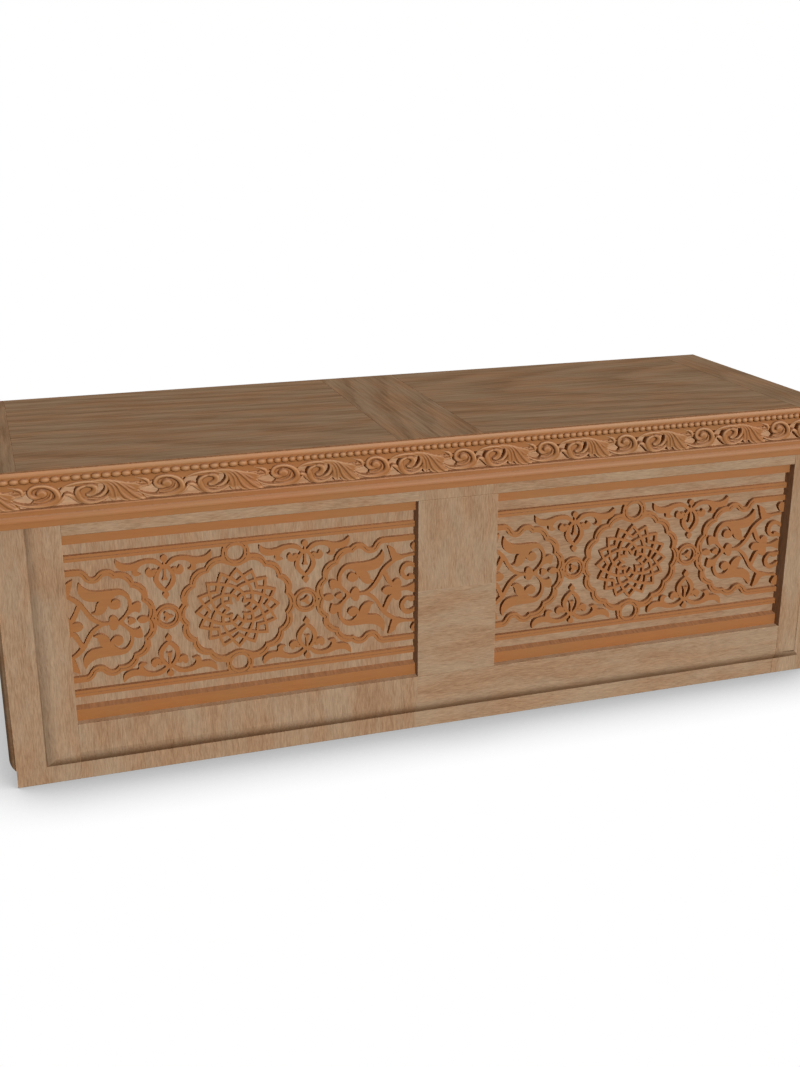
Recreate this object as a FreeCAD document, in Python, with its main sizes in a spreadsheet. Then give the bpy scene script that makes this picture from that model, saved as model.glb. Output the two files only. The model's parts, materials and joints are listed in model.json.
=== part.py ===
import FreeCAD, Part
import Sketcher
import math
import os

# Carved wooden chest with a hinged box lid.
# Millimetres, +Z up, the carved front faces -Y, the length runs along X.
# The origin is under the middle of the chest, on the face it stands on.

doc = FreeCAD.newDocument("carved_chest")

# Driving sizes, one row each: name, value, what it measures.
SIZES = (
    ("chest_length", 1260.0, "end to end over the side boards, without their raised fields"),
    ("chest_depth", 420.0, "flat face of the front frame to the back face"),
    ("chest_height", 450.0, "floor to the top of the lid"),
    ("lid_height", 75.0, "lid seam, hidden under the cornice, to the top of the lid"),
    ("frame_thickness", 28.0, "front frame and side boards, without the raised field"),
    ("field_raise", 8.0, "raised field over the flat margin"),
    ("field_bevel", 19.0, "width of the rounded edge of the front field"),
    ("left_margin", 40.0, "flat margin at the left end of the front"),
    ("right_margin", 16.0, "flat margin at the right end of the front"),
    ("bottom_margin", 26.0, "flat margin along the foot of the front and sides"),
    ("left_stile_width", 86.0, "chest end to the left opening"),
    ("left_opening_share", 0.49696356275, "left opening, of the length of both"),
    ("centre_stile_width", 122.0, "between the openings"),
    ("right_stile_width", 64.0, "right opening to the chest end"),
    ("bottom_rail_height", 87.0, "floor to the openings"),
    ("top_rail_height", 16.0, "openings to the lid seam"),
    ("ground_setback", 22.5, "raised field to the ground panel"),
    ("panel_thickness", 8.0, "ground panel"),
    ("groove_depth", 9.0, "groove of the ground panel in the frame"),
    ("fit_gap", 0.2, "glue and fitting gap"),
    ("cut_overrun", 5.0, "how far a cut runs past the wood"),
    ("tenon_length", 25.0, "rail tenon"),
    ("tenon_thickness", 8.0, "all frame tenons"),
    ("tenon_setback", 3.0, "flat face of the frame to the tenon"),
    ("tenon_shoulder", 15.0, "edge of the bottom rail to its tenon"),
    ("slim_tenon_shoulder", 3.0, "edge of the top rail to its tenon"),
    ("stub_tenon_length", 8.0, "stub tenons of the centre stile"),
    ("stub_tenon_shoulder", 20.0, "edge of the centre stile to its stub tenon"),
    ("side_bevel", 13.5, "width of the rounded edge of the side fields"),
    ("side_top_margin", 26.0, "seam to the side field"),
    ("back_thickness", 22.0, "back boards"),
    ("back_rebate", 12.0, "rebate of the back boards in the sides"),
    ("lower_back_board_height", 190.0, "lower of the two back boards"),
    ("tongue_length", 8.0, "tongues between boards"),
    ("tongue_thickness", 6.0, "tongues between boards"),
    ("post_side", 30.0, "square of the corner posts"),
    ("post_top_gap", 10.0, "seam to the top of the corner posts"),
    ("cleat_side", 20.0, "square of the floor cleats"),
    ("cleat_lift", 2.0, "floor to the foot of the cleats"),
    ("floor_thickness", 12.0, "floor boards"),
    ("lid_board_thickness", 20.0, "boards of the top"),
    ("lid_rim_thickness", 20.0, "rim boards of the lid, front and ends"),
    ("lid_overhang", 5.5, "top boards past the front rim board"),
    ("lid_left_clamp_width", 38.0, "cross board at the left end of the top"),
    ("lid_left_panel_length", 511.0, "left board of the top"),
    ("lid_centre_board_width", 126.0, "cross board in the middle of the top"),
    ("lid_right_clamp_width", 67.0, "cross board at the right end of the top"),
    ("lid_block_side", 24.0, "glue blocks in the corners of the lid"),
    ("moulding_projection", 13.0, "how far the cornice stands out"),
    ("band_height", 7.5, "flat band at the foot of the cornice"),
    ("band_projection", 10.5, "flat band"),
    ("torus_radius", 4.0, "large round of the cornice"),
    ("cove_height", 6.0, "hollow over the large round"),
    ("cove_radius", 7.0, "hollow over the large round"),
    ("fillet_height", 2.5, "fillet under the frieze"),
    ("fillet_projection", 11.0, "fillet under the frieze"),
    ("frieze_projection", 10.0, "carved scrolls"),
    ("frieze_lap", 6.0, "how far the carved scrolls lap over the flat band above"),
    ("upper_band_height", 8.5, "flat band over the frieze"),
    ("upper_band_projection", 6.5, "flat band over the frieze"),
    ("bead_radius", 4.0, "row of beads"),
    ("bead_gap", 3.5, "beads to the round top edge"),
    ("nose_radius", 2.75, "round top edge of the cornice"),
    ("strip_setback", 12.0, "raised field to the plain strips"),
    ("lower_strip_height", 16.5, "plain strip at the foot of an opening, at its face"),
    ("lower_strip_rise", 2.7, "slope of its top towards the ground panel"),
    ("upper_strip_height", 16.0, "plain strip at the head of an opening"),
    ("fret_thickness", 6.5, "carved fret"),
    ("fret_axis", 230.5, "left end of an opening to the axis of its medallion"),
    ("fret_margin", 34.2, "foot and head of an opening to the long strips of the fret"),
    ("fret_strip_height", 8.6, "long strips of the fret"),
    ("rosette_radius", 57.5, "medallion centre to the middle of a point of the star"),
    ("rosette_band", 3.7, "bands of the star"),
    ("ring_inner_cusp", 69.3, "medallion centre to the cusps inside the lobed ring"),
    ("ring_inner_crown", 74.2, "medallion centre to the crowns inside the lobed ring"),
    ("ring_outer_cusp", 77.5, "medallion centre to the cusps outside the lobed ring"),
    ("ring_outer_crown", 83.2, "medallion centre to the crowns outside the lobed ring"),
    ("eye_outer_radius", 19.5, "rings over and under the medallion"),
    ("eye_inner_radius", 11.7, "rings over and under the medallion"),
    ("link_reach", 97.6, "medallion centre to the rings beside it"),
    ("link_outer_radius", 17.6, "rings beside the medallion"),
    ("link_inner_radius", 10.0, "rings beside the medallion"),
    ("neighbour_reach", 195.2, "medallion centre to the centres of the half-open rings"),
    ("end_strip_inner", 73.1, "medallion centre to the short strips of the fret"),
    ("hinge_length", 64.0, "butt hinges"),
    ("hinge_leaf_width", 12.5, "hinge axis to the front edge of a leaf"),
    ("hinge_leaf_thickness", 1.8, "hinge leaves"),
    ("hinge_pocket_depth", 2.0, "recess for a leaf"),
    ("knuckle_radius", 4.0, "hinge knuckles"),
    ("knuckle_gap", 0.4, "gap round and between the knuckles"),
    ("pin_radius", 2.0, "hinge pin"),
    ("pin_clearance", 0.05, "pin in its knuckles"),
    ("pin_head", 1.0, "how far the pin stands out of the knuckles"),
    ("hinge_inset", 8.0, "back face to the hinge axis"),
    ("hinge_end_length", 180.0, "chest end to the middle of an outer hinge"),
    ("right_angle", 90.0, "degrees"),
    ("stop_angle", 51.0, "slope of the bevels that stop the lid, from level"),
    ("screw_gap", 0.1, "screw shanks in their holes"),
    ("screw_head_radius", 2.6, "countersunk screws of the hinges"),
    ("screw_shank_radius", 1.2, "countersunk screws of the hinges"),
    ("screw_head_depth", 1.4, "countersunk screws of the hinges"),
    ("screw_length", 14.0, "countersunk screws of the hinges"),
    ("screw_spacing", 24.0, "screws of one leaf"),
    ("post_screw_head_radius", 4.0, "screws of the corner posts"),
    ("post_screw_shank_radius", 2.0, "screws of the corner posts"),
    ("post_screw_head_depth", 2.2, "screws of the corner posts"),
    ("post_screw_length", 46.0, "screws of the corner posts"),
    ("post_screw_end_length", 60.0, "post end to its screws"),
)

# Sizes that follow from the driving ones.
DERIVED = (
    ("seam_height", "chest_height-lid_height"),
    ("opening_height", "seam_height-bottom_rail_height-top_rail_height"),
    ("openings_length", "chest_length-left_stile_width-centre_stile_width-right_stile_width"),
    ("left_opening_length", "openings_length*left_opening_share"),
    ("right_opening_length", "openings_length-left_opening_length"),
    ("cornice_waist_height", "band_height+2*torus_radius+cove_height+fillet_height"),
    ("cornice_head_height", "upper_band_height+2*bead_radius+bead_gap+2*nose_radius"),
    ("frieze_height", "lid_height-cornice_waist_height-cornice_head_height"),
    ("fret_strip_inner", "opening_height/2-fret_margin-fret_strip_height"),
    ("eye_rise", "fret_strip_inner+fret_strip_height-eye_outer_radius"),
    ("x_left", "-chest_length/2"),
    ("x_right", "chest_length/2"),
    ("y_front", "-(chest_depth-moulding_projection)/2"),
    ("y_back", "y_front+chest_depth"),
    ("opening_bottom", "bottom_rail_height"),
    ("opening_top", "bottom_rail_height+opening_height"),
    ("left_opening_start", "x_left+left_stile_width"),
    ("left_opening_end", "left_opening_start+left_opening_length"),
    ("right_opening_start", "left_opening_end+centre_stile_width"),
    ("right_opening_end", "right_opening_start+right_opening_length"),
    ("y_field", "y_front-field_raise"),
    ("y_ground", "y_field+ground_setback"),
    ("y_strip", "y_field+strip_setback"),
    ("y_frame_back", "y_front+frame_thickness"),
    ("y_axis", "y_back-hinge_inset"),
    ("y_back_inside", "y_back-back_thickness"),
    ("x_inside_left", "x_left+frame_thickness"),
    ("x_inside_right", "x_right-frame_thickness"),
    ("x_field_left", "x_left-field_raise"),
    ("x_field_right", "x_right+field_raise"),
    ("floor_bottom", "cleat_lift+cleat_side"),
    ("floor_top", "floor_bottom+floor_thickness"),
    ("post_top", "seam_height-post_top_gap"),
    ("lid_underside", "chest_height-lid_board_thickness"),
    ("cornice_foot_top", "seam_height+band_height"),
    ("torus_top", "cornice_foot_top+2*torus_radius"),
    ("cove_top", "torus_top+cove_height"),
    ("frieze_bottom", "cove_top+fillet_height"),
    ("frieze_top", "frieze_bottom+frieze_height"),
    ("bead_bottom", "frieze_top+upper_band_height"),
    ("bead_top", "bead_bottom+2*bead_radius"),
    ("nose_bottom", "chest_height-2*nose_radius"),
    ("torus_seat", "moulding_projection-torus_radius"),
    ("bead_seat", "moulding_projection-bead_radius"),
    ("nose_seat", "moulding_projection-nose_radius"),
    ("field_round", "(field_bevel*field_bevel+field_raise*field_raise)/(2*field_raise)"),
    ("side_round", "(side_bevel*side_bevel+field_raise*field_raise)/(2*field_raise)"),
    ("field_left", "x_left+left_margin"),
    ("field_left_flat", "field_left+field_bevel"),
    ("field_right", "x_right-right_margin"),
    ("field_right_flat", "field_right-field_bevel"),
    ("field_bottom_flat", "bottom_margin+field_bevel"),
    ("side_bottom_flat", "bottom_margin+side_bevel"),
    ("side_top_edge", "seam_height-side_top_margin"),
    ("side_top_flat", "side_top_edge-side_bevel"),
    ("side_front_flat", "y_front+side_bevel"),
    ("side_back_flat", "y_back-side_bevel"),
    ("lower_strip_top", "opening_bottom+lower_strip_height"),
    ("lower_strip_back_top", "lower_strip_top+lower_strip_rise"),
    ("lid_x_one", "x_left+lid_left_clamp_width"),
    ("lid_x_two", "lid_x_one+lid_left_panel_length"),
    ("lid_x_three", "lid_x_two+lid_centre_board_width"),
    ("lid_x_four", "x_right-lid_right_clamp_width"),
)

sheet = doc.addObject("Spreadsheet::Sheet", "dim")
names = [row[0] for row in SIZES] + [row[0] for row in DERIVED]
contents = [str(row[1]) for row in SIZES] + ["=" + row[1] for row in DERIVED]
notes = [row[2] for row in SIZES]
for number, (name, content) in enumerate(zip(names, contents), start=1):
    sheet.set("A%d" % number, name)
    sheet.set("B%d" % number, content)
    sheet.setAlias("B%d" % number, name)
for number, note in enumerate(notes, start=1):
    sheet.set("C%d" % number, note)
doc.recompute()


def size(name):
    """Value of a named size."""
    return float(sheet.get(name))


def bound(text):
    """The expression with every named size read from the sheet."""
    word = ""
    result = ""
    for letter in text + " ":
        if letter.isalnum() or letter == "_":
            word += letter
            continue
        result += "dim." + word if word in names else word
        result += letter
        word = ""
    return result.strip()


def bind(item, prop, text):
    item.setExpression(prop, bound(text))


def place(item, x="0", y="0", z="0"):
    bind(item, "Placement.Base.x", x)
    bind(item, "Placement.Base.y", y)
    bind(item, "Placement.Base.z", z)


def block(label, x_span, y_span, z_span):
    """Board between two places on each axis."""
    item = doc.addObject("Part::Box", label)
    item.Label = label
    place(item, x_span[0], y_span[0], z_span[0])
    bind(item, "Length", "(%s)-(%s)" % (x_span[1], x_span[0]))
    bind(item, "Width", "(%s)-(%s)" % (y_span[1], y_span[0]))
    bind(item, "Height", "(%s)-(%s)" % (z_span[1], z_span[0]))
    return item


def rod(label, radius, length, x, y, z, axis):
    """Round bar from one end, along an axis."""
    item = doc.addObject("Part::Cylinder", label)
    item.Label = label
    item.Placement.Rotation = FreeCAD.Rotation(FreeCAD.Vector(0, 0, 1), FreeCAD.Vector(*axis))
    place(item, x, y, z)
    bind(item, "Radius", radius)
    bind(item, "Height", length)
    return item


def fused(label, shapes):
    item = doc.addObject("Part::MultiFuse", label)
    item.Label = label
    item.Shapes = shapes
    item.Refine = True
    return item


def shared(label, shapes):
    item = doc.addObject("Part::MultiCommon", label)
    item.Label = label
    item.Shapes = shapes
    return item


def cut(label, base, tools):
    """The base less all the tools."""
    tool = tools[0] if len(tools) == 1 else fused(label + "_tools", tools)
    item = doc.addObject("Part::Cut", label)
    item.Label = label
    item.Base = base
    item.Tool = tool
    item.Refine = True
    return item


def origin_plane(body, role):
    for feature in body.Origin.OriginFeatures:
        if feature.Role == role:
            return feature
    raise RuntimeError("no plane " + role)


def size_of(text):
    """Value of a named size, or of zero."""
    return 0.0 if text == "0" else size(text)


def start_of(corner):
    return 2 if corner[2:] and corner[3] == "right" else 1


def end_of(corner):
    return 1 if corner[2:] and corner[3] == "right" else 2


def bulge(first, second, radius, turn):
    """Smaller arc from the first place to the second, turning left or right."""
    middle = (first + second) * 0.5
    way = second - first
    half = way.Length / 2
    left = FreeCAD.Vector(-way.y, way.x, 0)
    left.normalize()
    reach = math.sqrt(max(radius * radius - half * half, 0))
    centre = middle + left * (reach if turn == "left" else -reach)
    start = math.atan2(first.y - centre.y, first.x - centre.x)
    stop = math.atan2(second.y - centre.y, second.x - centre.x)
    circle = Part.Circle(centre, FreeCAD.Vector(0, 0, 1), radius)
    if turn == "left":
        return Part.ArcOfCircle(circle, start, stop)
    return Part.ArcOfCircle(circle, stop, start)


def outline(sketch, corners):
    """Closed line through named corners: across, up, and the radius and turn of an arc to
    the next corner. A half circle also names where its centre lies across."""
    points = [FreeCAD.Vector(size_of(corner[0]), size_of(corner[1]), 0) for corner in corners]
    count = len(corners)
    for index, corner in enumerate(corners):
        first = points[index]
        second = points[(index + 1) % count]
        if corner[2:]:
            sketch.addGeometry(bulge(first, second, size(corner[2]), corner[3]), False)
        else:
            sketch.addGeometry(Part.LineSegment(first, second), False)
    for index, corner in enumerate(corners):
        following = (index + 1) % count
        sketch.addConstraint(Sketcher.Constraint("Coincident", index, end_of(corner),
                                                 following, start_of(corners[following])))
    for index, corner in enumerate(corners):
        for direction, text in (("DistanceX", corner[0]), ("DistanceY", corner[1])):
            number = sketch.addConstraint(Sketcher.Constraint(
                direction, -1, 1, index, start_of(corner), size_of(text)))
            sketch.setExpression("Constraints[%d]" % number, bound(text))
        if corner[4:]:
            number = sketch.addConstraint(Sketcher.Constraint(
                "DistanceX", -1, 1, index, 3, size_of(corner[4])))
            sketch.setExpression("Constraints[%d]" % number, bound(corner[4]))
        elif corner[2:]:
            number = sketch.addConstraint(Sketcher.Constraint("Radius", index, size(corner[2])))
            sketch.setExpression("Constraints[%d]" % number, bound(corner[2]))


def profile_body(label, role, corners, length, turned=False):
    """Sketched profile on one of the body's own planes, padded evenly to both sides."""
    body = doc.addObject("PartDesign::Body", label)
    body.Label = label
    sketch = body.newObject("Sketcher::SketchObject", label + "_profile")
    sketch.AttachmentSupport = [(origin_plane(body, role), "")]
    sketch.MapMode = "FlatFace"
    outline(sketch, corners)
    pad = body.newObject("PartDesign::Pad", label + "_pad")
    pad.Profile = sketch
    pad.Midplane = True
    bind(pad, "Length", length)
    sketch.Visibility = False
    if turned:
        body.Placement.Rotation = FreeCAD.Rotation(FreeCAD.Vector(0, 0, 1), 180)
    return body


nodes = {}


def keep(label, item):
    """Make the item a piece of the chest under its own name."""
    item.Label = label
    nodes[label] = item
    return item


def member(label, blank, tools):
    """A piece: the blank less the tools."""
    return keep(label, cut(label, blank, tools))


# Front frame. One slab with its raised field is shared out among the five members.
front_rise = profile_body("front_field_rise", "YZ_Plane", (
    ("0", "bottom_margin", "field_round", "left"),
    ("field_raise", "field_bottom_flat"),
    ("field_raise", "seam_height"),
    ("0", "seam_height"),
), "2*chest_length", turned=True)
place(front_rise, "0", "y_front", "0")
front_run = profile_body("front_field_run", "XY_Plane", (
    ("field_left", "y_front", "field_round", "left"),
    ("field_left_flat", "y_field"),
    ("field_right_flat", "y_field", "field_round", "left"),
    ("field_right", "y_front"),
), "3*seam_height")
front_field = shared("front_field", [front_rise, front_run])
front_slab = fused("front_slab", [
    block("front_board", ("x_left", "x_right"), ("y_front", "y_frame_back"), ("0", "seam_height")),
    front_field,
])

FRONT = ("y_field-cut_overrun", "y_frame_back+cut_overrun")


def front_member(label, x_span, z_span):
    space = block(label + "_space", x_span, FRONT, z_span)
    return shared(label + "_blank", [front_slab, space])


def tenon(label, x_span, z_span, gap):
    """Tenon of the front frame, or its mortise where the gap is more than nothing."""
    return block(label, ("%s-%s" % (x_span[0], gap), "%s+%s" % (x_span[1], gap)),
                 ("y_front+tenon_setback-%s" % gap, "y_front+tenon_setback+tenon_thickness+%s" % gap),
                 ("%s-%s" % (z_span[0], gap), "%s+%s" % (z_span[1], gap)))


BOTTOM_TENON = ("tenon_shoulder", "bottom_rail_height-tenon_shoulder")
TOP_TENON = ("opening_top+slim_tenon_shoulder", "seam_height-slim_tenon_shoulder")
LEFT_TENON = ("left_opening_start-tenon_length", "left_opening_start")
RIGHT_TENON = ("right_opening_end", "right_opening_end+tenon_length")
STUB_TENON = ("left_opening_end+stub_tenon_shoulder", "right_opening_start-stub_tenon_shoulder")
LOWER_STUB = ("opening_bottom-stub_tenon_length", "opening_bottom")
UPPER_STUB = ("opening_top", "opening_top+stub_tenon_length")


def panel_space(label, start, end):
    """Grooves of the frame for one ground panel."""
    return block(label, (start + "-groove_depth", end + "+groove_depth"),
                 ("y_ground", "y_ground+panel_thickness"),
                 ("opening_bottom-groove_depth", "opening_top+groove_depth"))


left_space = panel_space("left_panel_space", "left_opening_start", "left_opening_end")
right_space = panel_space("right_panel_space", "right_opening_start", "right_opening_end")

# Mitres of the front corners: everything behind the slanting joint.
mitre_left = block("mitre_left", ("0", "2*chest_depth"), ("0", "2*chest_depth"),
                   ("0", "chest_height+2*cut_overrun"))
mitre_left.Placement.Rotation = FreeCAD.Rotation(FreeCAD.Vector(0, 0, 1), 45)
place(mitre_left, "x_left-chest_depth/sqrt(2)", "y_front-chest_depth/sqrt(2)", "-cut_overrun")
mitre_right = block("mitre_right", ("0", "2*chest_depth"), ("0", "2*chest_depth"),
                    ("0", "chest_height+2*cut_overrun"))
mitre_right.Placement.Rotation = FreeCAD.Rotation(FreeCAD.Vector(0, 0, 1), 45)
place(mitre_right, "x_right+chest_depth/sqrt(2)", "y_front-chest_depth/sqrt(2)", "-cut_overrun")

member("front_left_stile", front_member("left_stile", ("x_left", "left_opening_start"), ("0", "seam_height")), [
    mitre_left,
    left_space,
    tenon("left_bottom_mortise", LEFT_TENON, BOTTOM_TENON, "fit_gap"),
    tenon("left_top_mortise", LEFT_TENON, TOP_TENON, "fit_gap"),
])
member("front_right_stile", front_member("right_stile", ("right_opening_end", "x_right"), ("0", "seam_height")), [
    mitre_right,
    right_space,
    tenon("right_bottom_mortise", RIGHT_TENON, BOTTOM_TENON, "fit_gap"),
    tenon("right_top_mortise", RIGHT_TENON, TOP_TENON, "fit_gap"),
])
centre_blank = fused("centre_blank", [
    front_member("centre_stile", ("left_opening_end", "right_opening_start"), ("opening_bottom", "opening_top")),
    tenon("lower_stub", STUB_TENON, LOWER_STUB, "0"),
    tenon("upper_stub", STUB_TENON, UPPER_STUB, "0"),
])
member("front_centre_stile", centre_blank, [left_space, right_space])
bottom_blank = fused("bottom_blank", [
    front_member("bottom_rail", ("left_opening_start", "right_opening_end"), ("0", "bottom_rail_height")),
    tenon("bottom_left_tenon", LEFT_TENON, BOTTOM_TENON, "0"),
    tenon("bottom_right_tenon", RIGHT_TENON, BOTTOM_TENON, "0"),
])
member("front_bottom_rail", bottom_blank, [
    left_space, right_space, tenon("lower_stub_mortise", STUB_TENON, LOWER_STUB, "fit_gap")])
top_blank = fused("top_blank", [
    front_member("top_rail", ("left_opening_start", "right_opening_end"), ("opening_top", "seam_height")),
    tenon("top_left_tenon", LEFT_TENON, TOP_TENON, "0"),
    tenon("top_right_tenon", RIGHT_TENON, TOP_TENON, "0"),
])
member("front_top_rail", top_blank, [
    left_space, right_space, tenon("upper_stub_mortise", STUB_TENON, UPPER_STUB, "fit_gap")])

# Ground panels, held in the grooves.
for side, start, end in (("left", "left_opening_start", "left_opening_end"),
                         ("right", "right_opening_start", "right_opening_end")):
    keep(side + "_ground_panel", block(
        side + "_ground_panel",
        (start + "-groove_depth+fit_gap", end + "+groove_depth-fit_gap"),
        ("y_ground", "y_ground+panel_thickness"),
        ("opening_bottom-groove_depth+fit_gap", "opening_top+groove_depth-fit_gap")))
    keep(side + "_upper_strip", block(
        side + "_upper_strip", (start, end), ("y_strip", "y_ground"),
        ("opening_top-upper_strip_height", "opening_top")))
    strip = profile_body(side + "_lower_strip", "YZ_Plane", (
        ("y_strip", "opening_bottom"),
        ("y_ground", "opening_bottom"),
        ("y_ground", "lower_strip_back_top"),
        ("y_strip", "lower_strip_top"),
    ), "(%s)-(%s)" % (end, start))
    place(strip, "(%s+%s)/2" % (start, end))
    keep(side + "_lower_strip", strip)


def side_field(label, edge, raised, turns):
    """Raised field of a side board, rounded on its four edges."""
    rise = profile_body(label + "_rise", "XZ_Plane", (
        (edge, "bottom_margin"),
        (edge, "side_top_edge", "side_round", turns[0]),
        (raised, "side_top_flat"),
        (raised, "side_bottom_flat", "side_round", turns[0]),
    ), "4*chest_depth")
    run = profile_body(label + "_run", "XY_Plane", (
        (edge, "y_front", "side_round", turns[1]),
        (raised, "side_front_flat"),
        (raised, "side_back_flat", "side_round", turns[1]),
        (edge, "y_back"),
    ), "3*seam_height")
    return shared(label, [rise, run])


# The bevel under the lid seam, behind the hinge axis, stops the open lid.
body_stop = block("body_stop", ("0", "chest_length+2*cut_overrun"), ("0", "2*back_thickness"),
                  ("0", "2*back_thickness"))
place(body_stop, "x_left-cut_overrun", "y_axis", "seam_height")
body_stop.Placement.Rotation = FreeCAD.Rotation(FreeCAD.Vector(-1, 0, 0), 45)
bind(body_stop, "Placement.Rotation.Angle", "stop_angle")
lid_stop = block("lid_stop", ("0", "chest_length+2*cut_overrun"), ("0", "2*back_thickness"),
                 ("0", "2*back_thickness"))
place(lid_stop, "x_left-cut_overrun", "y_axis", "seam_height")
lid_stop.Placement.Rotation = FreeCAD.Rotation(FreeCAD.Vector(-1, 0, 0), 45)
bind(lid_stop, "Placement.Rotation.Angle", "right_angle-stop_angle")


def signed(sign, text):
    return ("+(%s)" if sign > 0 else "-(%s)") % text


SCREW_SIDES = 8


def screw(label, x, y, z, axis, sizes, gap="0"):
    """Countersunk screw from the middle of its head along an axis, or its hole with a gap.
    It is plain and eight-sided, because there are many."""
    head_radius, shank_radius, head_depth, length = sizes
    turn = FreeCAD.Rotation(FreeCAD.Vector(0, 0, 1), FreeCAD.Vector(*axis))
    edges = []
    for part, radius, depth in (("rim", head_radius, "0"), ("neck", shank_radius, head_depth)):
        edge = doc.addObject("Part::RegularPolygon", "%s_%s" % (label, part))
        edge.Polygon = SCREW_SIDES
        edge.Placement.Rotation = turn
        shift = [signed(way, depth) if way else "" for way in axis]
        place(edge, x + shift[0], y + shift[1], z + shift[2])
        bind(edge, "Circumradius", radius)
        edges.append(edge)
    head = doc.addObject("Part::Loft", label + "_head")
    head.Sections = edges
    head.Solid = True
    head.Ruled = True
    shank = doc.addObject("Part::Prism", label + "_shank")
    shank.Polygon = SCREW_SIDES
    shank.Placement.Rotation = turn
    shift = [signed(way, head_depth + "/2") if way else "" for way in axis]
    place(shank, x + shift[0], y + shift[1], z + shift[2])
    bind(shank, "Circumradius", "%s+%s" % (shank_radius, gap))
    bind(shank, "Height", "%s-%s/2+%s" % (length, head_depth, gap))
    return fused(label, [head, shank])


POST_SCREW = ("post_screw_head_radius", "post_screw_shank_radius", "post_screw_head_depth",
              "post_screw_length")
HINGE_SCREW = ("screw_head_radius", "screw_shank_radius", "screw_head_depth", "screw_length")

# Side boards, with their raised fields and a rebate for the back boards.
FRONT_POST = ("y_frame_back", "y_frame_back+post_side")
BACK_POST = ("y_back_inside-post_side", "y_back_inside")
LEFT_POST = ("x_inside_left", "x_inside_left+post_side")
RIGHT_POST = ("x_inside_right-post_side", "x_inside_right")
post_screws = []
for side, edge, inside, raised, turns, mitre, post_x, way in (
        ("left", "x_left", "x_inside_left", "x_field_left", ("left", "right"), mitre_left,
         LEFT_POST, -1),
        ("right", "x_right", "x_inside_right", "x_field_right", ("right", "left"), mitre_right,
         RIGHT_POST, 1)):
    x_span = (edge, inside) if way < 0 else (inside, edge)
    head_x = post_x[1] if way < 0 else post_x[0]
    rebate_x = ("%s-back_rebate" % inside, "%s+cut_overrun" % inside)
    if way > 0:
        rebate_x = ("%s-cut_overrun" % inside, "%s+back_rebate" % inside)
    board = fused(side + "_side_board", [
        block(side + "_side_plank", x_span, ("y_front", "y_back"), ("0", "seam_height")),
        side_field(side + "_side_field", edge, raised, turns)])
    mitred = shared(side + "_side_mitred", [board, mitre])
    holes = []
    for place_y, span in (("front", FRONT_POST), ("back", BACK_POST)):
        tools = []
        for level, z in (("low", "floor_top+post_screw_end_length"),
                         ("high", "post_top-post_screw_end_length")):
            name = "%s_%s_%s_post_screw" % (side, place_y, level)
            middle = "(%s+%s)/2" % span
            post_screws.append(screw(name, head_x, middle, z, (way, 0, 0), POST_SCREW))
            tools.append(screw(name + "_hole", head_x, middle, z, (way, 0, 0), POST_SCREW, "screw_gap"))
        holes += tools
        member("%s_%s_post" % (place_y, side),
               block("%s_%s_post_bar" % (place_y, side), post_x, span, ("floor_top", "post_top")), tools)
    member(side + "_side", mitred, [
        block(side + "_back_rebate", rebate_x, ("y_back_inside", "y_back+cut_overrun"),
              ("-cut_overrun", "seam_height+cut_overrun")),
        body_stop] + holes)


def group(label, items):
    item = doc.addObject("Part::Compound", label)
    item.Links = items
    return keep(label, item)


group("post_screws", post_screws)

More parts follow.
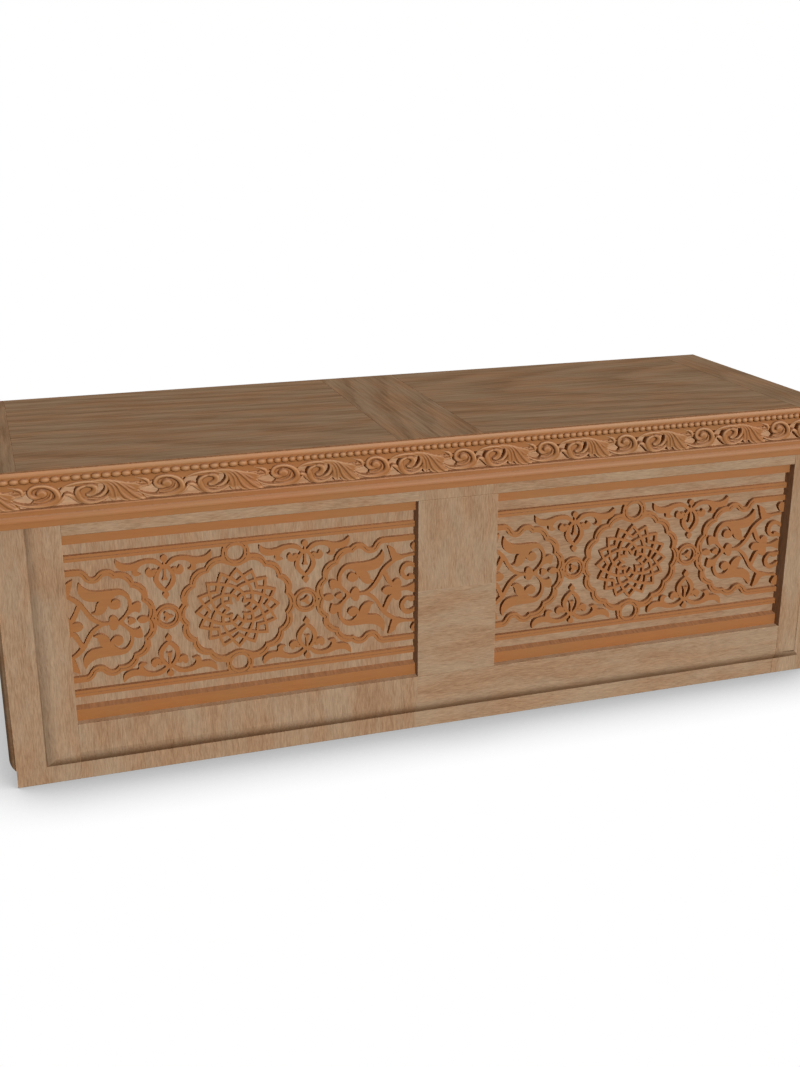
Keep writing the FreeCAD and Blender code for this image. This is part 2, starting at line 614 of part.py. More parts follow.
# Hinges on an axis inside the back edge.
HINGE_MIDDLES = (("left", "x_left+hinge_end_length"), ("centre", "0"),
                 ("right", "x_right-hinge_end_length"))
BODY_LEAF = ("seam_height-hinge_pocket_depth", "seam_height-hinge_pocket_depth+hinge_leaf_thickness")
LID_LEAF = ("seam_height+hinge_pocket_depth-hinge_leaf_thickness", "seam_height+hinge_pocket_depth")
LEAF_Y = ("y_axis-hinge_leaf_width", "y_axis-(pin_radius+knuckle_radius)/2")
body_pockets = []
lid_pockets = []
body_screws = []
lid_screws = []
for side, middle in HINGE_MIDDLES:
    name = side + "_hinge"
    start = middle + "-hinge_length/2"
    end = middle + "+hinge_length/2"
    inner_start = middle + "-hinge_length/6"
    inner_end = middle + "+hinge_length/6"
    bore = rod(name + "_bore", "pin_radius+pin_clearance", "hinge_length+2*cut_overrun",
               start + "-cut_overrun", "y_axis", "seam_height", (1, 0, 0))
    groove = rod(name + "_groove", "knuckle_radius+knuckle_gap",
                 "hinge_length+2*(pin_head+knuckle_gap)", start + "-pin_head-knuckle_gap",
                 "y_axis", "seam_height", (1, 0, 0))
    knuckle_length = "hinge_length/3-knuckle_gap/2"
    first = rod(name + "_knuckle_a", "knuckle_radius", knuckle_length, start, "y_axis",
                "seam_height", (1, 0, 0))
    second = rod(name + "_knuckle_b", "knuckle_radius", "hinge_length/3-knuckle_gap",
                 inner_start + "+knuckle_gap/2", "y_axis", "seam_height", (1, 0, 0))
    third = rod(name + "_knuckle_c", "knuckle_radius", knuckle_length,
                inner_end + "+knuckle_gap/2", "y_axis", "seam_height", (1, 0, 0))
    notch_y = ("y_axis-knuckle_radius-knuckle_gap", "y_axis+knuckle_radius+knuckle_gap")
    notch_z = ("seam_height-2*knuckle_radius", "seam_height+2*knuckle_radius")
    body_plate = block(name + "_body_plate", (start, end), LEAF_Y, BODY_LEAF)
    lid_plate = block(name + "_lid_plate", (start, end), LEAF_Y, LID_LEAF)
    body_notch = block(name + "_body_notch", (inner_start + "-knuckle_gap/2", inner_end + "+knuckle_gap/2"),
                       notch_y, notch_z)
    lid_notches = [
        block(name + "_lid_notch_a", (start + "-cut_overrun", inner_start + "+knuckle_gap/2"), notch_y, notch_z),
        block(name + "_lid_notch_b", (inner_end + "-knuckle_gap/2", end + "+cut_overrun"), notch_y, notch_z),
    ]
    body_holes = []
    lid_holes = []
    for index, sign in enumerate((-1, 1)):
        x = middle + signed(sign, "screw_spacing")
        y = "y_axis-(hinge_leaf_width+knuckle_radius)/2"
        label = "%s_screw_%d" % (name, index)
        body_screws.append(screw("body_" + label, x, y, BODY_LEAF[1], (0, 0, -1), HINGE_SCREW))
        lid_screws.append(screw("lid_" + label, x, y, LID_LEAF[0], (0, 0, 1), HINGE_SCREW))
        body_holes.append(screw("body_hole_" + label, x, y, BODY_LEAF[1], (0, 0, -1), HINGE_SCREW, "screw_gap"))
        lid_holes.append(screw("lid_hole_" + label, x, y, LID_LEAF[0], (0, 0, 1), HINGE_SCREW, "screw_gap"))
    body_plate_cut = cut(name + "_body_plate_cut", body_plate, [body_notch])
    lid_plate_cut = cut(name + "_lid_plate_cut", lid_plate, lid_notches)
    member(name + "_body_leaf", fused(name + "_body_blank", [body_plate_cut, first, third]),
           [bore] + body_holes)
    member(name + "_lid_leaf", fused(name + "_lid_blank", [lid_plate_cut, second]), [bore] + lid_holes)
    keep(name + "_pin", rod(name + "_pin", "pin_radius", "hinge_length+2*pin_head", start + "-pin_head",
                            "y_axis", "seam_height", (1, 0, 0)))
    pocket_x = (start + "-fit_gap", end + "+fit_gap")
    pocket_y = ("y_axis-hinge_leaf_width-fit_gap", "y_axis")
    body_pockets += [groove, block(name + "_body_pocket", pocket_x, pocket_y,
                                   ("seam_height-hinge_pocket_depth", "seam_height+cut_overrun"))]
    body_pockets += body_holes
    lid_pockets += [groove, block(name + "_lid_pocket", pocket_x, pocket_y,
                                  ("seam_height-cut_overrun", "seam_height+hinge_pocket_depth"))]
    lid_pockets += lid_holes
group("hinge_screws_body", body_screws)
group("hinge_screws_lid", lid_screws)

# Back boards with a tongue between them.
BACK_X = ("x_inside_left-back_rebate", "x_inside_right+back_rebate")
BACK_TONGUE = ("y_back_inside+(back_thickness-tongue_thickness)/2",
               "y_back_inside+(back_thickness+tongue_thickness)/2")
keep("back_lower_board", fused("back_lower_board", [
    block("back_lower_plank", BACK_X, ("y_back_inside", "y_back"), ("0", "lower_back_board_height")),
    block("back_tongue", BACK_X, BACK_TONGUE,
          ("lower_back_board_height-tongue_length", "lower_back_board_height+tongue_length-fit_gap")),
]))
member("back_upper_board",
       block("back_upper_plank", BACK_X, ("y_back_inside", "y_back"), ("lower_back_board_height", "seam_height")),
       [block("back_groove", BACK_X, BACK_TONGUE,
              ("lower_back_board_height-cut_overrun", "lower_back_board_height+tongue_length")),
        body_stop] + body_pockets)

# Floor boards on cleats.
INSIDE_X = ("x_inside_left", "x_inside_right")
INSIDE_Y = ("y_frame_back", "y_back_inside")
for index, name in enumerate(("front", "middle", "back")):
    lower = "y_frame_back+%d*(y_back_inside-y_frame_back)/3" % index
    upper = "y_frame_back+%d*(y_back_inside-y_frame_back)/3" % (index + 1)
    keep("%s_floor_board" % name, block(
        "%s_floor_board" % name, INSIDE_X, (lower, upper), ("floor_bottom", "floor_top")))
CLEAT_Z = ("cleat_lift", "floor_bottom")
CLEAT_Y = ("y_frame_back+cleat_side", "y_back_inside-cleat_side")
for name, x_span, y_span in (
        ("front", INSIDE_X, ("y_frame_back", "y_frame_back+cleat_side")),
        ("back", INSIDE_X, ("y_back_inside-cleat_side", "y_back_inside")),
        ("left", ("x_inside_left", "x_inside_left+cleat_side"), CLEAT_Y),
        ("right", ("x_inside_right-cleat_side", "x_inside_right"), CLEAT_Y)):
    keep(name + "_floor_cleat", block(name + "_floor_cleat", x_span, y_span, CLEAT_Z))

# Lid: rim boards mitred in front, five boards on top, joined by tongues.
RIM_Z = ("seam_height", "lid_underside")
member("lid_front_rim",
       block("lid_front_plank", ("x_left", "x_right"), ("y_front", "y_front+lid_rim_thickness"), RIM_Z),
       [mitre_left, mitre_right])
for side, x_span, mitre in (
        ("left", ("x_left", "x_left+lid_rim_thickness"), mitre_left),
        ("right", ("x_right-lid_rim_thickness", "x_right"), mitre_right)):
    keep("lid_%s_rim" % side, shared("lid_%s_rim" % side, [
        block("lid_%s_plank" % side, x_span, ("y_front", "y_back_inside"), RIM_Z), mitre]))
member("lid_back_rim",
       block("lid_back_plank", ("x_left", "x_right"), ("y_back_inside", "y_back"), RIM_Z),
       [lid_stop] + lid_pockets)
BLOCK_Z = ("seam_height+cut_overrun", "lid_underside")
blocks = []
for name, x_span, y_span in (
        ("front_left", ("x_left+lid_rim_thickness", "x_left+lid_rim_thickness+lid_block_side"),
         ("y_front+lid_rim_thickness", "y_front+lid_rim_thickness+lid_block_side")),
        ("front_right", ("x_right-lid_rim_thickness-lid_block_side", "x_right-lid_rim_thickness"),
         ("y_front+lid_rim_thickness", "y_front+lid_rim_thickness+lid_block_side")),
        ("back_left", ("x_left+lid_rim_thickness", "x_left+lid_rim_thickness+lid_block_side"),
         ("y_back_inside-lid_block_side", "y_back_inside")),
        ("back_right", ("x_right-lid_rim_thickness-lid_block_side", "x_right-lid_rim_thickness"),
         ("y_back_inside-lid_block_side", "y_back_inside"))):
    blocks.append(block("lid_block_" + name, x_span, y_span, BLOCK_Z))
group("lid_corner_blocks", blocks)

TOP_Y = ("y_front-lid_overhang", "y_back")
TOP_Z = ("lid_underside", "chest_height")
TONGUE_Z = ("lid_underside+(lid_board_thickness-tongue_thickness)/2",
            "lid_underside+(lid_board_thickness+tongue_thickness)/2")


def top_tongue(label, x, way, gap="0"):
    """Tongue of a long board into its neighbour, or the groove with a gap."""
    x_span = (x + "-tongue_length", x + "+tongue_length-" + gap)
    if way < 0:
        x_span = (x + "-tongue_length+" + gap, x + "+tongue_length")
    return block(label, x_span, TOP_Y, TONGUE_Z)


TOP_LEFT = (("x_left", "lid_x_one"), ("lid_x_one", "lid_x_two"), ("lid_x_two", "lid_x_three"),
            ("lid_x_three", "lid_x_four"), ("lid_x_four", "x_right"))
keep("lid_left_panel", fused("lid_left_panel", [
    block("lid_left_plank_top", TOP_LEFT[1], TOP_Y, TOP_Z),
    top_tongue("lid_tongue_one", "lid_x_one", -1, "fit_gap"),
    top_tongue("lid_tongue_two", "lid_x_two", 1, "fit_gap")]))
keep("lid_right_panel", fused("lid_right_panel", [
    block("lid_right_plank_top", TOP_LEFT[3], TOP_Y, TOP_Z),
    top_tongue("lid_tongue_three", "lid_x_three", -1, "fit_gap"),
    top_tongue("lid_tongue_four", "lid_x_four", 1, "fit_gap")]))
member("lid_left_clamp", block("lid_left_clamp_plank", TOP_LEFT[0], TOP_Y, TOP_Z),
       [top_tongue("lid_groove_one", "lid_x_one", -1)])
member("lid_centre_board", block("lid_centre_plank", TOP_LEFT[2], TOP_Y, TOP_Z),
       [top_tongue("lid_groove_two", "lid_x_two", 1), top_tongue("lid_groove_three", "lid_x_three", -1)])
member("lid_right_clamp", block("lid_right_clamp_plank", TOP_LEFT[4], TOP_Y, TOP_Z),
       [top_tongue("lid_groove_four", "lid_x_four", 1)])

# Cornice: two mouldings with the open band of scrolls between them.
upper = profile_body("cornice_upper_moulding", "YZ_Plane", (
    ("0", "frieze_top"),
    ("upper_band_projection", "frieze_top"),
    ("upper_band_projection", "bead_bottom"),
    ("bead_seat", "bead_bottom", "bead_radius", "left", "bead_seat"),
    ("bead_seat", "bead_top"),
    ("bead_seat", "nose_bottom"),
    ("nose_seat", "nose_bottom", "nose_radius", "left", "nose_seat"),
    ("nose_seat", "chest_height"),
    ("lid_overhang", "chest_height"),
    ("lid_overhang", "lid_underside"),
    ("0", "lid_underside"),
), "chest_length", turned=True)
place(upper, "0", "y_front", "0")
keep("cornice_upper_moulding", upper)
lower = profile_body("cornice_lower_moulding", "YZ_Plane", (
    ("0", "seam_height"),
    ("band_projection", "seam_height"),
    ("band_projection", "cornice_foot_top"),
    ("torus_seat", "cornice_foot_top", "torus_radius", "left", "torus_seat"),
    ("torus_seat", "torus_top", "cove_radius", "right"),
    ("fillet_projection", "cove_top"),
    ("fillet_projection", "frieze_bottom"),
    ("0", "frieze_bottom"),
), "chest_length", turned=True)
place(lower, "0", "y_front", "0")
keep("cornice_lower_moulding", lower)
doc.recompute()


# Flat shapes of the carving, drawn in the plane of the front: u to the right, v up.
# Their curves are drawn with a few straight sides each, as a carver's chisel leaves them.
ROUND_SIDES = 16
ARC_SIDES = 4


def spot(u, v):
    return FreeCAD.Vector(u, 0, v)


def polar(radius, degrees, middle=(0, 0)):
    turn = math.radians(degrees)
    return spot(middle[0] + radius * math.cos(turn), middle[1] + radius * math.sin(turn))


def plate(points):
    return Part.Face(Part.makePolygon(points + points[:1]))


def disc(middle, radius, sides=ROUND_SIDES):
    full = 4 * size("right_angle")
    return plate([polar(radius, full * side / sides, (middle.x, middle.z)) for side in range(sides)])


def ring(middle, outer, inner, sides=ROUND_SIDES):
    return disc(middle, outer, sides).cut(disc(middle, inner, sides))


def arc_points(first, middle, last, sides=ARC_SIDES):
    """Places on the arc through three places."""
    return Part.ArcOfCircle(first, middle, last).toShape().discretize(sides + 1)


def offset_line(points, width, closed):
    """The line moved sideways by a width, with its corners kept sharp."""
    moved = []
    count = len(points)
    for index, point in enumerate(points):
        before = points[index - 1] if index or closed else None
        after = points[(index + 1) % count] if index + 1 in range(count) or closed else None
        sides = []
        for start, stop in ((before, point), (point, after)):
            if start is not None and stop is not None:
                way = (stop - start).normalize()
                sides.append(spot(-way.z, way.x))
        normal = sides[0] + sides[-1]
        moved.append(point + normal * (width / normal.dot(sides[0])))
    return moved


def band(points, width):
    """Band of one width along a line."""
    upper = offset_line(points, width / 2, False)
    lower = offset_line(points, -width / 2, False)
    return plate(upper + lower[::-1])


def loop(points, width):
    """Band of one width along a closed line."""
    one = plate(offset_line(points, width / 2, True))
    two = plate(offset_line(points, -width / 2, True))
    return one.cut(two) if one.Area > two.Area else two.cut(one)


def strand(points, width, sides=ARC_SIDES):
    """Band of one width along arcs that follow each other, each through three of the places."""
    line = points[:1]
    for index in range(0, len(points) - 2, 2):
        line = line + arc_points(points[index], points[index + 1], points[index + 2], sides)[1:]
    return band(line, width)


def lobe(middle, degrees, half_turn, inner, outer):
    """One scallop of a lobed ring: inner and outer are its cusp and crown radii."""
    first = degrees - half_turn
    last = degrees + half_turn
    lines = []
    for cusp, crown in (outer, inner):
        lines.append(arc_points(polar(cusp, first, middle), polar(crown, degrees, middle),
                                polar(cusp, last, middle)))
    return plate(lines[0] + lines[1][::-1])


def slab(faces, clip, thickness):
    """All faces as one carved layer inside the clip, standing out of the ground.
    Crumbs that the clip leaves are dropped."""
    faces = [face for shape in faces for face in shape.Faces]
    faces = [face if face.normalAt(0, 0).y < 0 else face.reversed() for face in faces]
    whole = Part.Shell(faces[0].multiFuse(faces[1:]).Faces).removeSplitter()
    if clip is not None:
        whole = whole.common(clip).removeSplitter()
    solid = whole.extrude(FreeCAD.Vector(0, -thickness, 0))
    return Part.Compound([part for part in solid.Solids if part.Volume > crumb_share * thickness ** 3])


# Volume of the smallest carved piece that is kept, over the cube of the carving's thickness.
crumb_share = 0.2


def carved(label, shape, x, y, z):
    item = doc.addObject("Part::Feature", label)
    item.Shape = shape
    item.Placement = FreeCAD.Placement(FreeCAD.Vector(x, y, z), FreeCAD.Rotation())
    return keep(label, item)


def rosette_faces():
    """Star of sixteen points, woven from four pointed rings and one zigzag ring.
    The pointed rings cross each other at every second crossing."""
    tip = size("rosette_radius")
    width = size("rosette_band")
    second, third, fourth, fifth, sixth = [share * tip for share in rosette_shares]
    half = size("right_angle") / 8
    quarter = [(tip, 0), (second, half), (third, 2 * half), (fourth, 4 * half), (fifth, 6 * half),
               (rosette_turn_share * tip, rosette_turn_angle), (sixth, 8 * half)]
    faces = []
    for step in range(4):
        line = []
        for turn in (0, 2 * size("right_angle")):
            base = 4 * half * step + turn
            line += [polar(radius, base + degrees) for radius, degrees in quarter]
            line += [polar(radius, base + 2 * size("right_angle") - degrees)
                     for radius, degrees in quarter[1:-1][::-1]]
        faces.append(loop(line, width))
    line = []
    for step in range(8):
        base = 2 * half + 4 * half * step
        line += [polar(tip, base), polar(second, base + half), polar(third, base + 2 * half),
                 polar(second, base + 3 * half)]
    faces.append(loop(line, width))
    return faces


def fret_faces(length):
    """Bands of the fret between the ends of one opening, mirrored both ways."""
    start = -size("fret_axis")
    end = length - size("fret_axis")
    inner = size("fret_strip_inner")
    outer = inner + size("fret_strip_height")
    inside = (size("ring_inner_cusp"), size("ring_inner_crown"))
    outside = (size("ring_outer_cusp"), size("ring_outer_crown"))
    half = size("right_angle") / 8
    faces = []
    for step in range(16):
        if step % 8 != 4:
            faces.append(lobe((0, 0), 2 * half * step, half, inside, outside))
    far = size("neighbour_reach")
    low = size("end_strip_inner")
    high = low + size("fret_strip_height")
    wide = (outer - inner)
    fine = leaf_band_share * far
    for up in (1, -1):
        faces.append(ring(spot(0, up * size("eye_rise")), size("eye_outer_radius"), size("eye_inner_radius")))
        faces.append(plate([spot(start, up * inner), spot(end, up * inner), spot(end, up * outer),
                            spot(start, up * outer)]))
        for across in (1, -1):
            middle = (across * far, 0)
            base = size("right_angle") * (1 - across)
            for step in range(3):
                degrees = 2 * size("right_angle") - base - across * up * (2 * step + 1) * half
                faces.append(lobe(middle, degrees, half, inside, outside))
            faces.append(strand([spot(across * u * far, up * v * far) for u, v in neighbour_shares], wide, 3))
            edge = end if across > 0 else start
            for u, v in (neighbour_shares[0], neighbour_shares[-1]):
                faces.append(disc(spot(across * u * far, up * v * far), wide / 2, 8))
            root = across * neighbour_shares[-1][0] * far
            faces.append(plate([spot(root, up * low), spot(edge, up * low), spot(edge, up * high),
                                spot(root, up * high)]))
            for mirror in (1, -1):
                for points in pendant_strand_shares:
                    faces.append(strand([spot(across * (pendant_share + mirror * u) * far, up * v * far)
                                         for u, v in points], fine, 3))
                for u, v, radius in pendant_disc_shares:
                    faces.append(disc(spot(across * (pendant_share + mirror * u) * far, up * v * far),
                                      radius * far, 8))
            for points in leaf_strand_shares:
                faces.append(strand([spot(across * u * far, up * v * far) for u, v in points], fine, 3))
            for u, v, radius in leaf_disc_shares:
                faces.append(disc(spot(across * u * far, up * v * far), radius * far, 8))
            for points in leaf_plate_shares:
                faces.append(plate([spot(across * u * far, up * v * far) for u, v in points]))
    for across in (1, -1):
        faces.append(ring(spot(across * size("link_reach"), 0), size("link_outer_radius"),
                          size("link_inner_radius")))
    clip = plate([spot(start, -outer), spot(end, -outer), spot(end, outer), spot(start, outer)])
    return faces, clip


# Crossings of the star from the tip inwards, as shares of the radius of its points.
rosette_shares = (0.819, 0.683, 0.517, 0.388, 0.217)
rosette_turn_share = 0.312
rosette_turn_angle = 79.7
# End of a neighbouring ring: crest, trough and rise to the short strip, over its distance.
neighbour_shares = ((0.853, 0.353), (0.902, 0.3765), (0.953, 0.351), (0.996, 0.328), (1.040, 0.353),
                    (1.057, 0.381), (1.085, 0.396))
# Leaf motifs, over the same distance: middle lines of their bands, their knobs and their leaves.
leaf_band_share = 0.026
pendant_share = 0.5036
pendant_strand_shares = (
    ((0, 0.3945), (0.063, 0.29), (0, 0.187)),
    ((0.008, 0.384), (0.106, 0.4265), (0.213, 0.41), (0.27, 0.402), (0.327, 0.45)),
)
pendant_disc_shares = (
    (0, 0.437, 0.023),
    (0, 0.166, 0.021),
    (0.084, 0.338, 0.044),
    (0.19, 0.386, 0.023),
)
leaf_strand_shares = (
    ((0.79, 0.045), (0.755, 0.14), (0.82, 0.225)),
    ((0.9, 0.003), (1.01, 0.055), (1.077, 0.159), (1.115, 0.205), (1.18, 0.231), (1.25, 0.262),
     (1.335, 0.265)),
    ((1.104, 0.155), (1.12, 0.1), (1.165, 0.045)),
    ((1.34, 0.19), (1.236, 0.15), (1.295, 0.085)),
)
leaf_disc_shares = (
    (0.855, 0.138, 0.038),
    (0.877, 0, 0.05),
    (0.75, 0, 0.026),
    (1.119, 0, 0.033),
    (1.2, 0.045, 0.04),
)
leaf_plate_shares = (
    ((0.8, 0.24), (1.0, 0.25), (1.09, 0.323), (1.098, 0.25), (1.045, 0.184), (0.93, 0.165), (0.86, 0.2),
     (0.81, 0.2)),
    ((0.93, 0.17), (0.906, 0.135), (0.945, 0.08), (1.02, 0.086), (0.985, 0.13), (0.97, 0.173)),
    ((0.683, 0.127), (0.745, 0.125), (0.775, 0.06), (0.697, 0.056)),
    ((0.625, 0), (0.67, 0.026), (0.715, 0), (0.67, -0.026)),
    ((1.127, 0.35), (1.183, 0.32), (1.21, 0.27), (1.163, 0.235)),
)

z_medallion = size("opening_bottom") + size("opening_height") / 2
y_ground = size("y_ground")
for side, start in (("left", "left_opening_start"), ("right", "right_opening_start")):
    x_medallion = size(start) + size("fret_axis")
    faces, clip = fret_faces(size(side + "_opening_length"))
    carved(side + "_fret", slab(faces, clip, size("fret_thickness")), x_medallion, y_ground, z_medallion)
    carved(side + "_rosette", slab(rosette_faces(), None, size("fret_thickness")),
           x_medallion, y_ground, z_medallion)


def frieze_faces():
    """Running scroll: in every length of it a stem, a small scroll, a leaf in five folds, a
    flame leaf and the volute that the stem grows into."""
    length = size("chest_length")
    height = size("frieze_height") + size("frieze_lap")
    faces = []
    before = volute_start_share * length
    for share in volute_shares:
        reach = share * length - before
        for width, points in frieze_strand_shares:
            faces.append(strand([spot(before + u * reach, v * height) for u, v in points],
                                width * height, 2))
        for u, v, radius in frieze_disc_shares:
            faces.append(disc(spot(before + u * reach, v * height), radius * height, 8))
        before = share * length
    clip = plate([spot(0, -height / 2), spot(length, -height / 2), spot(length, height / 2),
                  spot(0, height / 2)])
    return faces, clip


# Middles of the volutes along the cornice, as shares of its length. From one to the next:
# widths over the height of the band, and middle lines across the way and up the band.
volute_start_share = -0.076
volute_shares = (0.0508, 0.1778, 0.3024, 0.4067, 0.5095, 0.6119, 0.7123, 0.8151, 0.9198, 1.0246)
frieze_strand_shares = (
    (0.12, ((0.17, 0.27), (0.26, 0.46), (0.37, 0.48))),
    (0.17, ((0.39, 0.31), (0.28, 0.14), (0.3, -0.2), (0.39, -0.4), (0.54, -0.22))),
    (0.14, ((0.43, -0.19), (0.53, 0.02), (0.48, 0.44))),
    (0.15, ((0.43, 0.47), (0.55, 0.07), (0.565, -0.38))),
    (0.17, ((0.5, 0.47), (0.63, 0.12), (0.71, -0.43))),
    (0.17, ((0.54, 0.48), (0.68, 0.11), (0.83, -0.45))),
    (0.13, ((0.58, 0.49), (0.68, 0.22), (0.79, 0.0))),
    (0.14, ((0.76, 0.47), (0.84, 0.42), (0.87, 0.17))),
    (0.11, ((0.68, 0.2), (0.8, 0.14), (0.87, 0.19))),
    (0.15, ((0.78, -0.1), (0.88, -0.36), (1.02, -0.41), (1.14, -0.16), (1.12, 0.27), (1.05, 0.45),
            (0.96, 0.42), (0.91, 0.2), (0.96, 0.04))),
)
frieze_disc_shares = ((0.415, 0.12, 0.12), (1.0, 0.2, 0.18))

faces, clip = frieze_faces()
band_seat = Part.makeBox(size("chest_length"), size("upper_band_projection"), size("frieze_lap"),
                         FreeCAD.Vector(0, -size("upper_band_projection"),
                                        (size("frieze_height") - size("frieze_lap")) / 2))
scrolls = slab(faces, clip, size("frieze_projection")).cut(band_seat)
carved("cornice_frieze", Part.Compound(scrolls.Solids), size("x_left"), size("y_front"),
       (size("frieze_bottom") + size("frieze_top") + size("frieze_lap")) / 2)

doc.recompute()

os.makedirs("parts", exist_ok=True)
for item in doc.Objects:
    if any(word in item.State for word in ("Invalid", "Error")):
        raise RuntimeError("object not in order: " + item.Name)
for label, item in nodes.items():
    shape = item.Shape
    if shape.isNull() or not shape.isValid() or not shape.Solids:
        raise RuntimeError("piece not in order: " + label)
    shape.exportStep("parts/%s.step" % label)
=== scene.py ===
import json
import math

import bmesh
import bpy
import numpy as np
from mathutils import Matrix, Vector
from mathutils.geometry import delaunay_2d_cdt

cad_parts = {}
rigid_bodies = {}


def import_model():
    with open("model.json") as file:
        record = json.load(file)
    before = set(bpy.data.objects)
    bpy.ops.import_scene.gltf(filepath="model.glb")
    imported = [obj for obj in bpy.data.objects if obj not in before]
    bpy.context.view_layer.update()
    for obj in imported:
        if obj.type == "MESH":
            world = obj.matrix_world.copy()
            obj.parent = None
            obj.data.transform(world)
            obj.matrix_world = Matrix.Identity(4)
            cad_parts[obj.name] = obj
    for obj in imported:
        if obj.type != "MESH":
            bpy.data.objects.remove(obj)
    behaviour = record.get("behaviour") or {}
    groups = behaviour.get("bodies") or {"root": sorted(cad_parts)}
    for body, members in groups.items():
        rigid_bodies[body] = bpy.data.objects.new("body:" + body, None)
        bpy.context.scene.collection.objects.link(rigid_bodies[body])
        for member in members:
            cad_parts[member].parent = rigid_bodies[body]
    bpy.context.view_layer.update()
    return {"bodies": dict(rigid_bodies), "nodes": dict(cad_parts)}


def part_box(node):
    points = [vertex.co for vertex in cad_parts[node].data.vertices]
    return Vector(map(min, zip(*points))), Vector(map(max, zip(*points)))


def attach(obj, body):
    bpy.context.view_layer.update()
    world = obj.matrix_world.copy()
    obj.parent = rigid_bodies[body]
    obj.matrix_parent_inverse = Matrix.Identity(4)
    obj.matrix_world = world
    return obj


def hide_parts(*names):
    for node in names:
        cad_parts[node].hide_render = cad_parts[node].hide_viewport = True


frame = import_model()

bl_info = {
    "name": "Carved Wooden Chest",
    "version": (1, 0, 0),
    "blender": (4, 5, 0),
    "location": "View3D > Sidebar > Chest",
    "description": "Builds the looks of a carved chest with a hinged box lid",
    "category": "Add Mesh",
}

MM = 0.001


def corners(node):
    """Lowest and highest corner of a piece at rest, in millimetres."""
    low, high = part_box(node)
    return [value / MM for value in low], [value / MM for value in high]


# Sizes and colours


class ChestSizes(bpy.types.PropertyGroup):
    """Sizes that a user would change, in metres."""
    edge_round: bpy.props.FloatProperty(
        name="Edge round", description="Width of the worn edges of the boards", default=0.0006,
        min=0.0, unit="LENGTH")
    carving_step: bpy.props.FloatProperty(
        name="Carving step", description="Sampling step of the flat carving", default=0.0005,
        min=0.0002, unit="LENGTH")
    line_width: bpy.props.FloatProperty(
        name="Line width", description="Width of the lines cut along the bands", default=0.0011,
        min=0.0, unit="LENGTH")
    line_depth: bpy.props.FloatProperty(
        name="Line depth", description="Depth of the lines cut along the bands", default=0.0014,
        min=0.0, unit="LENGTH")
    bead_pitch: bpy.props.FloatProperty(
        name="Bead pitch", description="From one bead of the cornice to the next", default=0.01016,
        min=0.001, unit="LENGTH")
    bead_length: bpy.props.FloatProperty(
        name="Bead length", description="Length of a bead along the cornice", default=0.0111,
        min=0.001, unit="LENGTH")


class ChestColours(bpy.types.PropertyGroup):
    """Colours of the woods and metals."""
    front: bpy.props.FloatVectorProperty(
        name="Front wood", description="Frame and ground panels", subtype="COLOR", size=3,
        default=(0.343, 0.222, 0.135), min=0.0, max=1.0)
    carving: bpy.props.FloatVectorProperty(
        name="Carving wood", description="Frets, strips and cornice", subtype="COLOR", size=3,
        default=(0.295, 0.117, 0.032), min=0.0, max=1.0)
    side: bpy.props.FloatVectorProperty(
        name="Sides", description="Wood of the side boards and the back",
        subtype="COLOR", size=3, default=(0.44, 0.262, 0.148), min=0.0, max=1.0)
    # Painted light: the carving's colour on faces that turn upwards, paler than on its front faces.
    carving_upper_shading: bpy.props.FloatVectorProperty(
        name="Upper faces of the carving", description="Faces of the carving that turn upwards",
        subtype="COLOR", size=3, default=(0.318, 0.147, 0.068), min=0.0, max=1.0)
    top: bpy.props.FloatVectorProperty(
        name="Top wood", description="Boards of the top", subtype="COLOR", size=3,
        default=(0.310, 0.188, 0.107), min=0.0, max=1.0)
    inner: bpy.props.FloatVectorProperty(
        name="Inner wood", description="Floor, posts and cleats", subtype="COLOR", size=3,
        default=(0.36, 0.23, 0.13), min=0.0, max=1.0)
    metal: bpy.props.FloatVectorProperty(
        name="Hinge metal", description="Hinges and screws", subtype="COLOR", size=3,
        default=(0.16, 0.15, 0.14), min=0.0, max=1.0)


# Shader groups


